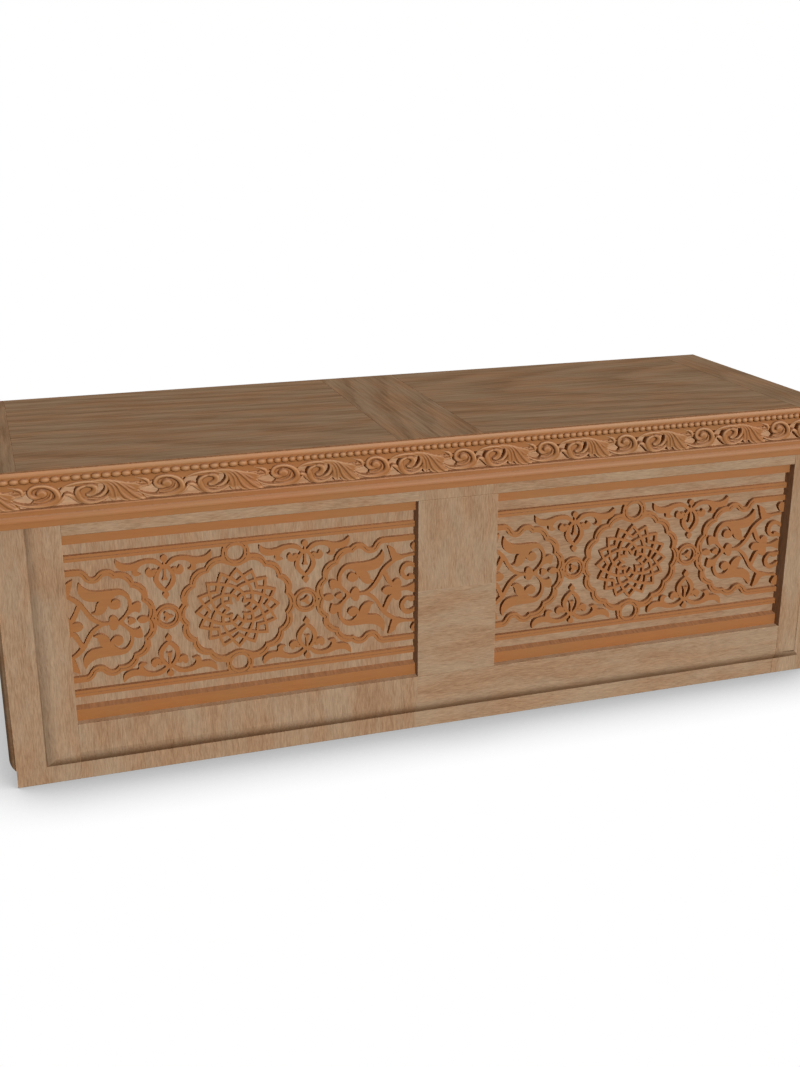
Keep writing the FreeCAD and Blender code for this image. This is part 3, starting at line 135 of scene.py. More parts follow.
class Wires:
    """Short hand for laying nodes into a tree."""

    def __init__(self, tree):
        self.tree = tree

    def node(self, kind, **settings):
        """New node with these settings."""
        made = self.tree.nodes.new(kind)
        for label, value in settings.items():
            setattr(made, label, value)
        return made

    def link(self, source, target):
        """Line from an output to an input."""
        self.tree.links.new(source, target)

    def fill(self, node, values):
        """Link or set inputs of a node by label or number; the node comes back."""
        for label, value in values.items():
            if isinstance(value, bpy.types.NodeSocket):
                self.link(value, node.inputs[label])
            else:
                node.inputs[label].default_value = value
        return node

    def math(self, kind, *values, clamp=False):
        """Result of a sum on numbers or sockets."""
        node = self.node("ShaderNodeMath", operation=kind, use_clamp=clamp)
        return self.fill(node, dict(enumerate(values))).outputs[0]

    def plus(self, one, two):
        """One and two added."""
        return self.math("ADD", one, two)

    def less(self, one, two):
        """One without two."""
        return self.math("SUBTRACT", one, two)

    def times(self, one, two, clamp=False):
        """One times two."""
        return self.math("MULTIPLY", one, two, clamp=clamp)

    def noise(self, vector, scale, detail=3.0, rough=0.55):
        """Cloudy noise between nought and one."""
        node = self.node("ShaderNodeTexNoise")
        self.fill(node, {"Vector": vector, "Scale": scale, "Detail": detail, "Roughness": rough})
        return node.outputs["Fac"]

    def ramp(self, value, low, high, out_low=0.0, out_high=1.0, smooth=True):
        """Value between two limits, carried over to two others."""
        node = self.node("ShaderNodeMapRange", interpolation_type="SMOOTHSTEP" if smooth else "LINEAR")
        self.fill(node, {"Value": value, "From Min": low, "From Max": high, "To Min": out_low,
                         "To Max": out_high})
        return node.outputs["Result"]

    def mix(self, factor, first, second, blend="MIX"):
        """Colour between two colours."""
        node = self.node("ShaderNodeMix", data_type="RGBA", blend_type=blend)
        return self.fill(node, {0: factor, 6: first, 7: second}).outputs[2]

    def tint(self, colour, by):
        """One colour times another."""
        return self.mix(1.0, colour, by, "MULTIPLY")

    def split(self, vector):
        """The three numbers of a vector."""
        return self.fill(self.node("ShaderNodeSeparateXYZ"), {0: vector}).outputs

    def join(self, x, y, z):
        """Vector of three numbers."""
        return self.fill(self.node("ShaderNodeCombineXYZ"), {0: x, 1: y, 2: z}).outputs[0]

    def attribute(self, name, output="Fac"):
        """Value that the mesh carries."""
        return self.node("ShaderNodeAttribute", attribute_name=name).outputs[output]

    def normal(self):
        """Direction of the surface, seen from the piece itself."""
        return self.node("ShaderNodeTexCoord").outputs["Normal"]


def new_group(name, inputs, outputs):
    """Empty shader group. An input is a number, a colour or, without a value, a vector;
    an output is a number unless it is the colour."""
    group = bpy.data.node_groups.new(name, "ShaderNodeTree")
    for label, value in inputs.items():
        kind = "Vector" if value is None else "Float" if isinstance(value, float) else "Color"
        socket = group.interface.new_socket(label, in_out="INPUT", socket_type="NodeSocket" + kind)
        if value is not None:
            socket.default_value = value
    for label in outputs:
        kind = "Color" if label == "Colour" else "Float"
        group.interface.new_socket(label, in_out="OUTPUT", socket_type="NodeSocket" + kind)
    w = Wires(group)
    return group, w, w.node("NodeGroupInput").outputs, w.node("NodeGroupOutput").inputs


def wood_grain_group():
    """Grain of one board from coordinates that run along, across and into it, in metres."""
    group, w, given, result = new_group("wood_grain", {
        "Place": None, "Fibre size": 0.0016, "Fibre length": 0.030, "Streak size": 0.005,
        "Streak length": 0.070, "Ring size": 0.009, "Ring depth": 0.06, "Ring tilt": 0.05, "Waviness": 0.012,
    }, ("Fibre", "Streak", "Rings", "Pores", "Patches"))
    along, across, into = w.split(given["Place"])
    # Slow wander of the fibres, so that no streak is ruler straight.
    wander = w.noise(w.join(w.times(along, 7.0), w.times(across, 12.0), into), 1.0)
    swayed = w.plus(across, w.times(w.less(wander, 0.5), given["Waviness"]))

    def long_cells(length, size, detail, rough):
        """Noise drawn out along the fibres."""
        place = w.join(w.math("DIVIDE", along, length), w.math("DIVIDE", swayed, size),
                       w.math("DIVIDE", into, size))
        return w.noise(place, 1.0, detail, rough)

    # Fibres and streaks: cells many times longer than wide, with crisp sides.
    fibre = long_cells(given["Fibre length"], given["Fibre size"], 3.0, 0.65)
    w.link(w.ramp(fibre, 0.30, 0.70), result["Fibre"])
    streak = long_cells(given["Streak length"], given["Streak size"], 5.0, 0.68)
    w.link(w.ramp(streak, 0.30, 0.70, smooth=False), result["Streak"])
    # Growth rings: distance from a heart line that dips under the board.
    deep = w.plus(w.plus(into, given["Ring depth"]), w.times(along, given["Ring tilt"]))
    bent = w.noise(w.join(w.times(along, 5.0), w.times(across, 16.0), 0.0), 1.0, 4.0, 0.5)
    reach = w.math("SQRT", w.plus(w.times(swayed, swayed), w.times(deep, deep)))
    bend = w.times(w.less(bent, 0.5), w.times(given["Waviness"], 2.2))
    saw = w.math("FRACT", w.math("DIVIDE", w.plus(reach, bend), given["Ring size"]))
    w.link(w.ramp(w.times(saw, w.less(1.0, w.math("POWER", saw, 6.0))), 0.0, 0.75), result["Rings"])
    w.link(w.ramp(long_cells(0.011, 0.0007, 1.0, 0.5), 0.62, 0.74), result["Pores"])
    place = w.join(w.times(along, 7.0), w.times(swayed, 24.0), into)
    w.link(w.noise(place, 1.0, 5.0, 0.6), result["Patches"])
    return group


def wood_tone_group():
    """Colour, roughness and height of a wood from its grain."""
    group, w, given, result = new_group("wood_tone", {
        "Colour": (0.4, 0.26, 0.15, 1.0), "Fibre": 0.5, "Streak": 0.5, "Rings": 0.5, "Pores": 0.0,
        "Patches": 0.5, "Fibre strength": 0.25, "Streak strength": 0.35, "Ring strength": 0.15,
        "Pore strength": 0.4, "Patch strength": 0.3,
    }, ("Colour", "Roughness", "Height"))

    def swing(name, strength):
        """How far one part of the grain moves the shade."""
        return w.times(w.less(given[name], 0.5), given[strength])

    total = w.plus(swing("Fibre", "Fibre strength"), swing("Streak", "Streak strength"))
    total = w.plus(total, swing("Rings", "Ring strength"))
    total = w.plus(total, swing("Patches", "Patch strength"))
    light = w.times(w.plus(total, 1.0), w.less(1.0, w.times(given["Pores"], given["Pore strength"])))
    base = w.tint(given["Colour"], w.join(light, light, light))
    # Darker fibres are also redder, paler ones a little greyer.
    red = w.mix(w.ramp(light, 0.75, 1.05, 0.35, 0.0), base, w.tint(base, (1.0, 0.86, 0.76, 1.0)))
    # Broad patches lean to pink or to grey green.
    lean = w.mix(w.ramp(given["Patches"], 0.36, 0.64), (1.05, 0.985, 0.93, 1.0), (0.965, 1.01, 1.045, 1.0))
    w.link(w.tint(red, lean), result["Colour"])
    w.link(w.ramp(light, 0.7, 1.25, 0.68, 0.52), result["Roughness"])
    w.link(w.less(w.times(given["Fibre"], 0.35), given["Pores"]), result["Height"])
    return group


def edge_wear_and_under_shade_group():
    """Rubbed edges from the piece's own attribute, and painted shade where it looks downwards."""
    group, w, given, result = new_group("edge_wear_and_under_shade", {
        "Colour": (0.4, 0.26, 0.15, 1.0), "Rubbed": 0.0, "Place": None, "Strength": 0.35, "Normal": None,
    }, ("Colour",))
    patch = w.ramp(w.noise(given["Place"], 60.0, 4.0, 0.6), 0.35, 0.75)
    amount = w.times(w.times(given["Rubbed"], patch), given["Strength"], clamp=True)
    rubbed = w.mix(amount, given["Colour"], w.tint(given["Colour"], (1.35, 1.30, 1.22, 1.0)))
    # Painted shade on the faces that look downwards.
    under = w.ramp(w.times(w.split(given["Normal"])[2], -1.0), 0.0, 0.60)
    w.link(w.mix(under, rubbed, w.tint(rubbed, (0.58, 0.50, 0.43, 1.0))), result["Colour"])
    return group


def painted_light_by_facing_group():
    """Painted shade in the cuts, painted highlight on the crests, and paler, cross-streaked painted light
    where a carved face turns upwards.
    """
    group, w, given, result = new_group("painted_light_by_facing", {
        "Colour": (0.35, 0.13, 0.04, 1.0), "Upper colour": (0.45, 0.2, 0.11, 1.0), "Place": None,
        "Normal": None, "Hollow": 0.0,
    }, ("Colour",))
    along, across, into = w.split(given["Place"])
    rise = w.split(given["Normal"])[2]
    hatch = w.noise(w.join(w.times(along, 330.0), w.times(across, 40.0), w.times(into, 40.0)), 1.0, 2.0, 0.6)
    # Upward faces get a paler colour, streaked across the grain, as painted light.
    light = w.plus(1.0, w.times(w.less(hatch, 0.5), w.times(w.ramp(rise, 0.6, 0.9), 0.9)))
    pale = w.tint(given["Upper colour"], w.join(light, light, light))
    # Painted shade in the cuts between the leaves.
    painted_shade = w.tint(given["Colour"], (0.26, 0.20, 0.15, 1.0))
    cut = w.mix(w.times(given["Hollow"], 1.0, clamp=True), given["Colour"], painted_shade)
    # Painted highlight on the crests.
    crest = w.tint(cut, (1.52, 2.00, 3.4, 1.0))
    rubbed = w.mix(w.times(given["Hollow"], -1.0, clamp=True), cut, crest)
    # Painted light: upward faces take the paler colour.
    w.link(w.mix(w.ramp(rise, 0.50, 0.72), rubbed, pale), result["Colour"])
    return group


def brushed_metal_group():
    """Dulled, slightly spotted metal."""
    group, w, given, result = new_group("brushed_metal", {
        "Place": None, "Colour": (0.2, 0.19, 0.18, 1.0),
    }, ("Colour", "Roughness", "Height"))
    spots = w.noise(given["Place"], 420.0, 4.0, 0.6)
    broad = w.noise(given["Place"], 60.0, 3.0, 0.5)
    shade = w.plus(w.times(spots, 0.5), w.times(broad, 0.6))
    tone = w.join(*(w.plus(shade, base) for base in (0.45, 0.43, 0.40)))
    w.link(w.tint(given["Colour"], tone), result["Colour"])
    w.link(w.ramp(spots, 0.3, 0.7, 0.38, 0.6), result["Roughness"])
    w.link(spots, result["Height"])
    return group


GROUP_MAKERS = {"wood_grain": wood_grain_group, "wood_tone": wood_tone_group, "edge_wear_and_under_shade": edge_wear_and_under_shade_group,
                "painted_light_by_facing": painted_light_by_facing_group, "brushed_metal": brushed_metal_group}
GROUPS = {}


def group_node(w, name, **values):
    """Node of a shared group, which is made when it is first asked for."""
    if name not in GROUPS:
        GROUPS[name] = GROUP_MAKERS[name]()
    node = w.node("ShaderNodeGroup", node_tree=GROUPS[name])
    return w.fill(node, {label.replace("_", " "): value for label, value in values.items()})


# Materials

MATERIALS = {}
AXIS_TURN = {"x": (0.0, 0.0, 0.0), "y": (0.0, 0.0, -math.pi / 2), "z": (0.0, math.pi / 2, 0.0)}
OAK_GRAIN = {"Fibre_size": 0.0013, "Fibre_length": 0.012, "Streak_size": 0.0034, "Streak_length": 0.026,
             "Ring_size": 0.016, "Ring_depth": 0.14, "Ring_tilt": 0.05, "Waviness": 0.020}
OAK_TONE = {"Fibre_strength": 0.26, "Streak_strength": 0.26, "Ring_strength": 0.06, "Pore_strength": 0.16,
            "Patch_strength": 0.70}
CARVED_GRAIN = {"Fibre_size": 0.0012, "Fibre_length": 0.02, "Streak_size": 0.004, "Streak_length": 0.04,
                "Ring_size": 0.012, "Ring_depth": 0.10, "Ring_tilt": 0.02, "Waviness": 0.006}
CARVED_TONE = {"Fibre_strength": 0.08, "Streak_strength": 0.07, "Ring_strength": 0.02, "Pore_strength": 0.04,
               "Patch_strength": 0.10}
TOP_GRAIN = {"Fibre_size": 0.0016, "Fibre_length": 0.06, "Streak_size": 0.005, "Streak_length": 0.12,
             "Ring_size": 0.024, "Ring_depth": 0.05, "Ring_tilt": 0.12, "Waviness": 0.011}
TOP_TONE = {"Fibre_strength": 0.20, "Streak_strength": 0.42, "Ring_strength": 0.20, "Pore_strength": 0.10,
            "Patch_strength": 0.34}


def shaded(name):
    """New material, kept under its name, with short hand for its tree."""
    material = bpy.data.materials.new(name)
    material.use_nodes = True
    MATERIALS[name] = material
    return Wires(material.node_tree), material.node_tree.nodes["Principled BSDF"]


def bumped(w, shader, height, strength, distance):
    """Fine relief on a shader."""
    relief = w.node("ShaderNodeBump")
    w.fill(relief, {"Strength": strength, "Distance": distance, "Height": height})
    w.link(relief.outputs[0], shader.inputs["Normal"])


def wood_material(name, colour, place, grain, tone, bump=0.12, wear=0.0, polish=0.0, upper=None):
    """Wood whose grain follows the attribute or axis that place names."""
    w, shader = shaded(name)
    if place == "grain":
        where = w.attribute("grain", "Vector")
    else:
        source = w.node("ShaderNodeTexCoord").outputs["Object"]
        turned = w.node("ShaderNodeMapping")
        where = w.fill(turned, {"Rotation": AXIS_TURN[place], "Vector": source}).outputs[0]
    figure = group_node(w, "wood_grain", Place=where, **grain)
    toned = group_node(w, "wood_tone", Colour=(*colour, 1.0), **tone)
    for label in ("Fibre", "Streak", "Rings", "Pores", "Patches"):
        w.link(figure.outputs[label], toned.inputs[label])
    result = toned.outputs["Colour"]
    # Rubbed edges, and painted shade on the faces that look downwards.
    if wear:
        result = group_node(w, "edge_wear_and_under_shade", Colour=result, Rubbed=w.attribute("rubbed"), Place=where,
                            Strength=wear, Normal=w.normal()).outputs["Colour"]
    # Painted shade in cuts, painted highlight on crests and painted light on the upward faces of the carving.
    if upper:
        result = group_node(w, "painted_light_by_facing", Colour=result, Upper_colour=(*upper, 1.0), Place=where,
                            Hollow=w.attribute("shade_and_highlight"), Normal=w.normal()).outputs["Colour"]
    w.fill(shader, {"Base Color": result, "Roughness": toned.outputs["Roughness"], "Specular IOR Level": 0.0})
    bumped(w, shader, toned.outputs["Height"], bump, 0.0004)
    if polish:
        # Only the faces that look out of the carving are waxed.
        outward = w.times(w.split(w.normal())[1], -1.0)
        wax = w.ramp(outward, 0.30, 0.75, 0.0, polish)
        w.fill(shader, {"Coat Weight": wax, "Coat Roughness": 0.56})


def metal_material(name, colour):
    """Dull brushed metal."""
    w, shader = shaded(name)
    where = w.node("ShaderNodeTexCoord").outputs["Object"]
    dull = group_node(w, "brushed_metal", Place=where, Colour=(*colour, 1.0))
    w.fill(shader, {"Base Color": dull.outputs["Colour"], "Roughness": dull.outputs["Roughness"],
                    "Metallic": 0.85})
    bumped(w, shader, dull.outputs["Height"], 0.15, 0.0002)


def build_materials():
    """All woods and the metal in the colours of the sidebar."""
    c = bpy.context.scene.chest_colours
    wood_material("front_wood", c.front, "grain", OAK_GRAIN, OAK_TONE, bump=0.06, wear=0.5)
    wood_material("ground_wood", c.front, "grain", OAK_GRAIN, OAK_TONE, bump=0.06)
    wood_material("carving_wood", c.carving, "x", CARVED_GRAIN, CARVED_TONE, bump=0.05, polish=0.72,
                  upper=c.carving_upper_shading)
    wood_material("top_wood", c.top, "grain", TOP_GRAIN, TOP_TONE, wear=0.5)
    for axis in AXIS_TURN:
        wood_material("inner_wood_" + axis, c.inner, axis, OAK_GRAIN, OAK_TONE)
    wood_material("side_wood", c.side, "grain", OAK_GRAIN, OAK_TONE, bump=0.06, wear=0.5)
    metal_material("hinge_metal", c.metal)


# Pieces

NODES = frame["nodes"]
BODY_OF = {node: body for node in NODES for body, empty in frame["bodies"].items()
           if NODES[node].parent == empty}
GRAIN_ORDER = {"x-front": (0, 2, 1), "z-front": (2, 0, 1), "x-top": (0, 1, 2), "y-top": (1, 0, 2),
               "y-side": (1, 2, 0), "z-side": (2, 1, 0)}
# Limits of the random place in the tree that each board is taken from, along, across and into it, in metres.
TREE_LOW, TREE_HIGH = (-4.0, -0.12, 0.0), (4.0, 0.12, 0.04)
# Seed of the board sawn well beside the heart, and how far: its grain runs straight.
HEART_ASIDE = {42: 0.27}
# Lowest and highest x and z of a field of grain, in millimetres; these go past every piece.
FAR = 1000.0
WHOLE = (-FAR, FAR, -FAR, FAR)


def added(name, data):
    """New object in the scene."""
    item = bpy.data.objects.new(name, data)
    bpy.context.collection.objects.link(item)
    return item


def finished(name, mesh, node_or_body, slot, *replaced):
    """Object at the origin that rides on the body of a piece and stands for the pieces given."""
    piece = added(name, mesh)
    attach(piece, BODY_OF.get(node_or_body, node_or_body))
    if replaced:
        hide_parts(*replaced)


def row_values(items, label, width=1, kind=float):
    """One property of all items of a mesh as an array."""
    values = np.empty(len(items) * width, dtype=kind)
    items.foreach_get(label, values)
    return values.reshape(-1, width) if width > 1 else values


def set_shade_and_highlight(mesh, values):
    """Store the painted shade of each point above nought, in cuts and turns away from the light, and a
    painted highlight below nought, on crests.
    """
    attribute = mesh.attributes.new("shade_and_highlight", "FLOAT", "POINT")
    attribute.data.foreach_set("value", np.asarray(values, dtype=np.float32))


def grain_attribute(mesh, fields):
    """Coordinates that run along, across and into the wood, shifted so that no two fields match.
    A field is its run of grain, its seed and its lowest and highest x and z in millimetres."""
    places = row_values(mesh.vertices, "co", 3)
    middles = row_values(mesh.polygons, "center", 3) / MM
    corner = row_values(mesh.loops, "vertex_index", kind=int)
    counts = row_values(mesh.polygons, "loop_total", kind=int)
    owner = np.repeat(np.arange(len(counts)), counts)
    values = np.zeros((len(mesh.loops), 3))
    for along, seed, (x_low, x_high, z_low, z_high) in fields:
        shift = np.random.default_rng(seed).uniform(TREE_LOW, TREE_HIGH)
        shift[1] += HEART_ASIDE.get(seed, 0.0)
        order = GRAIN_ORDER[along]
        middle = (places.min(0) + places.max(0))[list(order)] / 2
        inside = ((middles[:, 0] > x_low) & (middles[:, 0] < x_high)
                  & (middles[:, 2] > z_low) & (middles[:, 2] < z_high))
        chosen = inside[owner]
        turned = places[corner[chosen]][:, order]
        turned[:, 1:] -= middle[1:]
        values[chosen] = turned + shift
    attribute = mesh.attributes.new("grain", "FLOAT_VECTOR", "CORNER")
    attribute.data.foreach_set("vector", values.astype(np.float32).ravel())


# Points nearer than the gap are one, faces flatter than the angle too; edges that get rounded bend by more
# than the second angle and are longer than so many widths of the rounding.
MERGE_GAP, FLAT_ANGLE = 0.00002, math.radians(0.4)
BEVEL_ANGLE, SHORTEST_BEVEL = math.radians(25), 4


def rounded_copy(node, edge, cuts=()):
    """Own mesh of a piece with worn edges; the worn faces carry the wear attribute.
    The cuts, an axis and a place each, let the grain change inside one piece."""
    work = bmesh.new()
    work.from_mesh(NODES[node].data)
    bmesh.ops.remove_doubles(work, verts=work.verts, dist=MERGE_GAP)
    bmesh.ops.dissolve_limit(work, angle_limit=FLAT_ANGLE, verts=work.verts, edges=work.edges)
    sharp = [item for item in work.edges if item.is_manifold and item.calc_face_angle(0.0) > BEVEL_ANGLE
             and item.calc_length() > edge * SHORTEST_BEVEL]
    worn = set()
    if sharp:
        made = bmesh.ops.bevel(work, geom=sharp, offset=edge, segments=2, profile=0.5, affect="EDGES",
                               clamp_overlap=True, material=-1)
        worn = set(made["faces"])
    layer = work.loops.layers.float.new("rubbed")
    for face in work.faces:
        face.material_index = 0
        for loop in face.loops:
            loop[layer] = float(face in worn)
    bmesh.ops.triangulate(work, faces=[face for face in work.faces if len(face.verts) > 4])
    for axis, place in cuts:
        point, normal = [0.0, 0.0, 0.0], [0.0, 0.0, 0.0]
        point[axis], normal[axis] = place * MM, 1.0
        bmesh.ops.bisect_plane(work, geom=work.verts[:] + work.edges[:] + work.faces[:], dist=0.000001,
                               plane_co=point, plane_no=normal)
    mesh = bpy.data.meshes.new(node + "_shape")
    work.to_mesh(mesh)
    work.free()
    return mesh


def board(node, wood, fields, cuts=()):
    """One wooden board on its piece, with its own run of grain."""
    mesh = rounded_copy(node, bpy.context.scene.chest_sizes.edge_round, cuts)
    mesh.materials.append(MATERIALS[wood])
    grain_attribute(mesh, fields)
    finished(node + "_wood", mesh, node, wood, node)


def dress(node, material):
    """Finish on a piece that keeps its own shape."""
    piece = NODES[node]
    piece.data.materials.clear()
    piece.data.materials.append(MATERIALS[material])


# Boards with one run of grain: piece, wood, run of grain and seed. The jointed boards have several runs.
OUTER_STILES = (
    ("front_left_stile", "front_wood", "z-front", 10), ("front_right_stile", "front_wood", "z-front", 12),
)
JOINTED_BOARDS = ("front_centre_stile", "front_top_rail", "front_bottom_rail")
GROUND_BOARDS = (
    ("left_ground_panel", "ground_wood", "z-front", 21), ("right_ground_panel", "ground_wood", "x-front", 22),
)
SIDE_BOARDS = (
    ("left_side", "side_wood", "y-side", 31), ("right_side", "side_wood", "y-side", 32),
    ("back_lower_board", "side_wood", "x-front", 33), ("back_upper_board", "side_wood", "x-front", 34),
    ("lid_left_rim", "side_wood", "y-side", 35), ("lid_right_rim", "side_wood", "y-side", 36),
    ("lid_back_rim", "side_wood", "x-front", 37), ("lid_front_rim", "side_wood", "x-front", 38),
)
TOP_BOARDS = (
    ("lid_left_clamp", "top_wood", "y-top", 41), ("lid_left_panel", "top_wood", "x-top", 42),
    ("lid_centre_board", "top_wood", "y-top", 43), ("lid_right_panel", "top_wood", "x-top", 44),
    ("lid_right_clamp", "top_wood", "y-top", 45),
)
INNER = {
    "x": ("front_floor_board", "middle_floor_board", "back_floor_board", "front_floor_cleat",
          "back_floor_cleat"),
    "y": ("left_floor_cleat", "right_floor_cleat"),
    "z": ("front_left_post", "front_right_post", "back_left_post", "back_right_post", "lid_corner_blocks"),
}
STRIPS = ("left_upper_strip", "left_lower_strip", "right_upper_strip", "right_lower_strip")
# Height of the joint in the centre stile's grain, as a share of the openings' height.
CENTRE_JOINT = 0.498


def lay_boards(boards):
    """Boards with one run of grain each."""
    for node, wood, along, seed in boards:
        board(node, wood, ((along, seed, WHOLE),))


class CHEST_OT_front_frame(bpy.types.Operator):
    """Build the stiles, rails and ground panels of the front"""
    bl_idname = "chest.front_frame"
    bl_label = "Front frame"

    def execute(self, context):
        low, high = corners("front_centre_stile")
        left, right = low[0], high[0]
        foot, head = corners("left_lower_strip")[0][2], corners("left_upper_strip")[1][2]
        change = foot + CENTRE_JOINT * (head - foot)
        fields = (
            ("z-front", 11, (-FAR, left, -FAR, FAR)),
            ("x-front", 14, (-FAR, FAR, head, FAR)),
            ("z-front", 13, (left, right, change, FAR)),
            ("x-front", 16, (left, right, foot, change)),
            ("x-front", 15, (left, FAR, -FAR, foot)),
        )
        cuts = ((0, left), (0, right), (2, change), (2, foot), (2, head))
        lay_boards(OUTER_STILES)
        for node in JOINTED_BOARDS:
            board(node, "front_wood", fields, cuts)
        lay_boards(GROUND_BOARDS)
        return {"FINISHED"}


class CHEST_OT_sides_and_back(bpy.types.Operator):
    """Build the side boards, the back boards and the rims of the lid"""
    bl_idname = "chest.sides_and_back"
    bl_label = "Sides and back"

    def execute(self, context):
        lay_boards(SIDE_BOARDS)
        return {"FINISHED"}


class CHEST_OT_top_boards(bpy.types.Operator):
    """Build the boards of the top"""
    bl_idname = "chest.top_boards"
    bl_label = "Top boards"

    def execute(self, context):
        lay_boards(TOP_BOARDS)
        return {"FINISHED"}


class CHEST_OT_inside(bpy.types.Operator):
    """Finish the floor, cleats, posts, hinges and strips"""
    bl_idname = "chest.inside"
    bl_label = "Inside and hinges"

    def execute(self, context):
        for axis, nodes in INNER.items():
            for node in nodes:
                dress(node, "inner_wood_" + axis)
        for node in NODES:
            if "screws" in node:
                dress(node, "hinge_metal")
            elif "hinge" in node:
                dress(node, "hinge_metal")
        for node in STRIPS:
            dress(node, "carving_wood")
        return {"FINISHED"}


# Flat carving


def polar(radius, degrees, middle=(0.0, 0.0)):
    """Place at a distance and an angle from a middle."""
    turn = math.radians(degrees)
    return (middle[0] + radius * math.cos(turn), middle[1] + radius * math.sin(turn))


def arc_points(first, middle, last, pieces=10):
    """Points of the circle through three places."""
    (ax, ay), (bx, by), (cx, cy) = first, middle, last
    d = 2 * (ax * (by - cy) + bx * (cy - ay) + cx * (ay - by))
    if abs(d) < 1e-9:
        return [first, middle, last]
    a2, b2, c2 = ax * ax + ay * ay, bx * bx + by * by, cx * cx + cy * cy
    ox = (a2 * (by - cy) + b2 * (cy - ay) + c2 * (ay - by)) / d
    oy = (a2 * (cx - bx) + b2 * (ax - cx) + c2 * (bx - ax)) / d
    radius = math.hypot(ax - ox, ay - oy)
    start = math.atan2(ay - oy, ax - ox)
    mid = (math.atan2(by - oy, bx - ox) - start) % math.tau
    end = (math.atan2(cy - oy, cx - ox) - start) % math.tau
    if mid > end:
        end -= math.tau
    turns = [start + end * k / pieces for k in range(pieces + 1)]
    return [(ox + radius * math.cos(turn), oy + radius * math.sin(turn)) for turn in turns]


def limited(tangent, across):
    """Tangent no longer than the gap it serves; at a sharp corner it points straight across."""
    length = math.hypot(*tangent)
    if length == 0:
        return across[0] * 0.5, across[1] * 0.5
    share = min(1.0, 1.1 * math.hypot(*across) / length)
    return tangent[0] * share, tangent[1] * share


def curve_through(points, pieces=5):
    """Smooth closed line through points; a point with a third value is a sharp corner."""
    count = len(points)
    result = []
    for index in range(count):
        p0, p1, p2, p3 = (points[(index + shift) % count] for shift in (-1, 0, 1, 2))
        t1 = (0.0, 0.0) if len(p1) > 2 else ((p2[0] - p0[0]) / 2, (p2[1] - p0[1]) / 2)
        t2 = (0.0, 0.0) if len(p2) > 2 else ((p3[0] - p1[0]) / 2, (p3[1] - p1[1]) / 2)
        across = (p2[0] - p1[0], p2[1] - p1[1])
        t1, t2 = limited(t1, across), limited(t2, across)
        for k in range(pieces):
            t = k / pieces
            h1, h2, h3, h4 = 2 * t**3 - 3 * t**2 + 1, t**3 - 2 * t**2 + t, 3 * t**2 - 2 * t**3, t**3 - t**2
            result.append((h1 * p1[0] + h2 * t1[0] + h3 * p2[0] + h4 * t2[0],
                           h1 * p1[1] + h2 * t1[1] + h3 * p2[1] + h4 * t2[1]))
    return result


def mirrored(points, across=0.0):
    """The same points seen in a mirror that stands at that place."""
    return [(2 * across - point[0],) + tuple(point[1:]) for point in points]


def flipped(points):
    """The same points upside down."""
    return [(point[0], -point[1]) + tuple(point[2:]) for point in points]


def both(points):
    """An outline and its mirror image."""
    return points, mirrored(points)


def four(points):
    """An outline in all four quarters."""
    return both(points) + both(flipped(points))


def doubled(half):
    """Outline from its upper half; the places at nought stay single."""
    return half + tuple(flipped([point for point in reversed(half) if point[1] > 0]))


def span(axis, values, reach=0.0):
    """Part of a rising axis that lies about some values."""
    first, last = np.searchsorted(axis, (min(values) - reach, max(values) + reach))
    return slice(first, max(first, last))


def inside_of(outline, uu, vv):
    """Which places lie in a closed outline."""
    inside = np.zeros(uu.shape, dtype=bool)
    for index, (bu, bv) in enumerate(outline):
        au, av = outline[index - 1]
        if av != bv:
            inside ^= ((av > vv) != (bv > vv)) & (uu < (bu - au) * (vv - av) / (bv - av) + au)
    return inside


def gap_to(first, last, uu, vv):
    """Distance of places to a straight piece of line, and the share of it where they meet it."""
    du, dv = last[0] - first[0], last[1] - first[1]
    uu, vv = uu - first[0], vv - first[1]
    length = du * du + dv * dv
    part = np.clip((uu * du + vv * dv) / length, 0, 1) if length > 0 else 0.0
    return np.hypot(uu - part * du, vv - part * dv), part


# Distance that stands for nothing near, and how far distances are told past an outline, a band and the middle
# of a cut line, in millimetres.
NOWHERE, OUTLINE_REACH, BAND_REACH, LINE_REACH = 40.0, 6.0, 5.0, 3.0


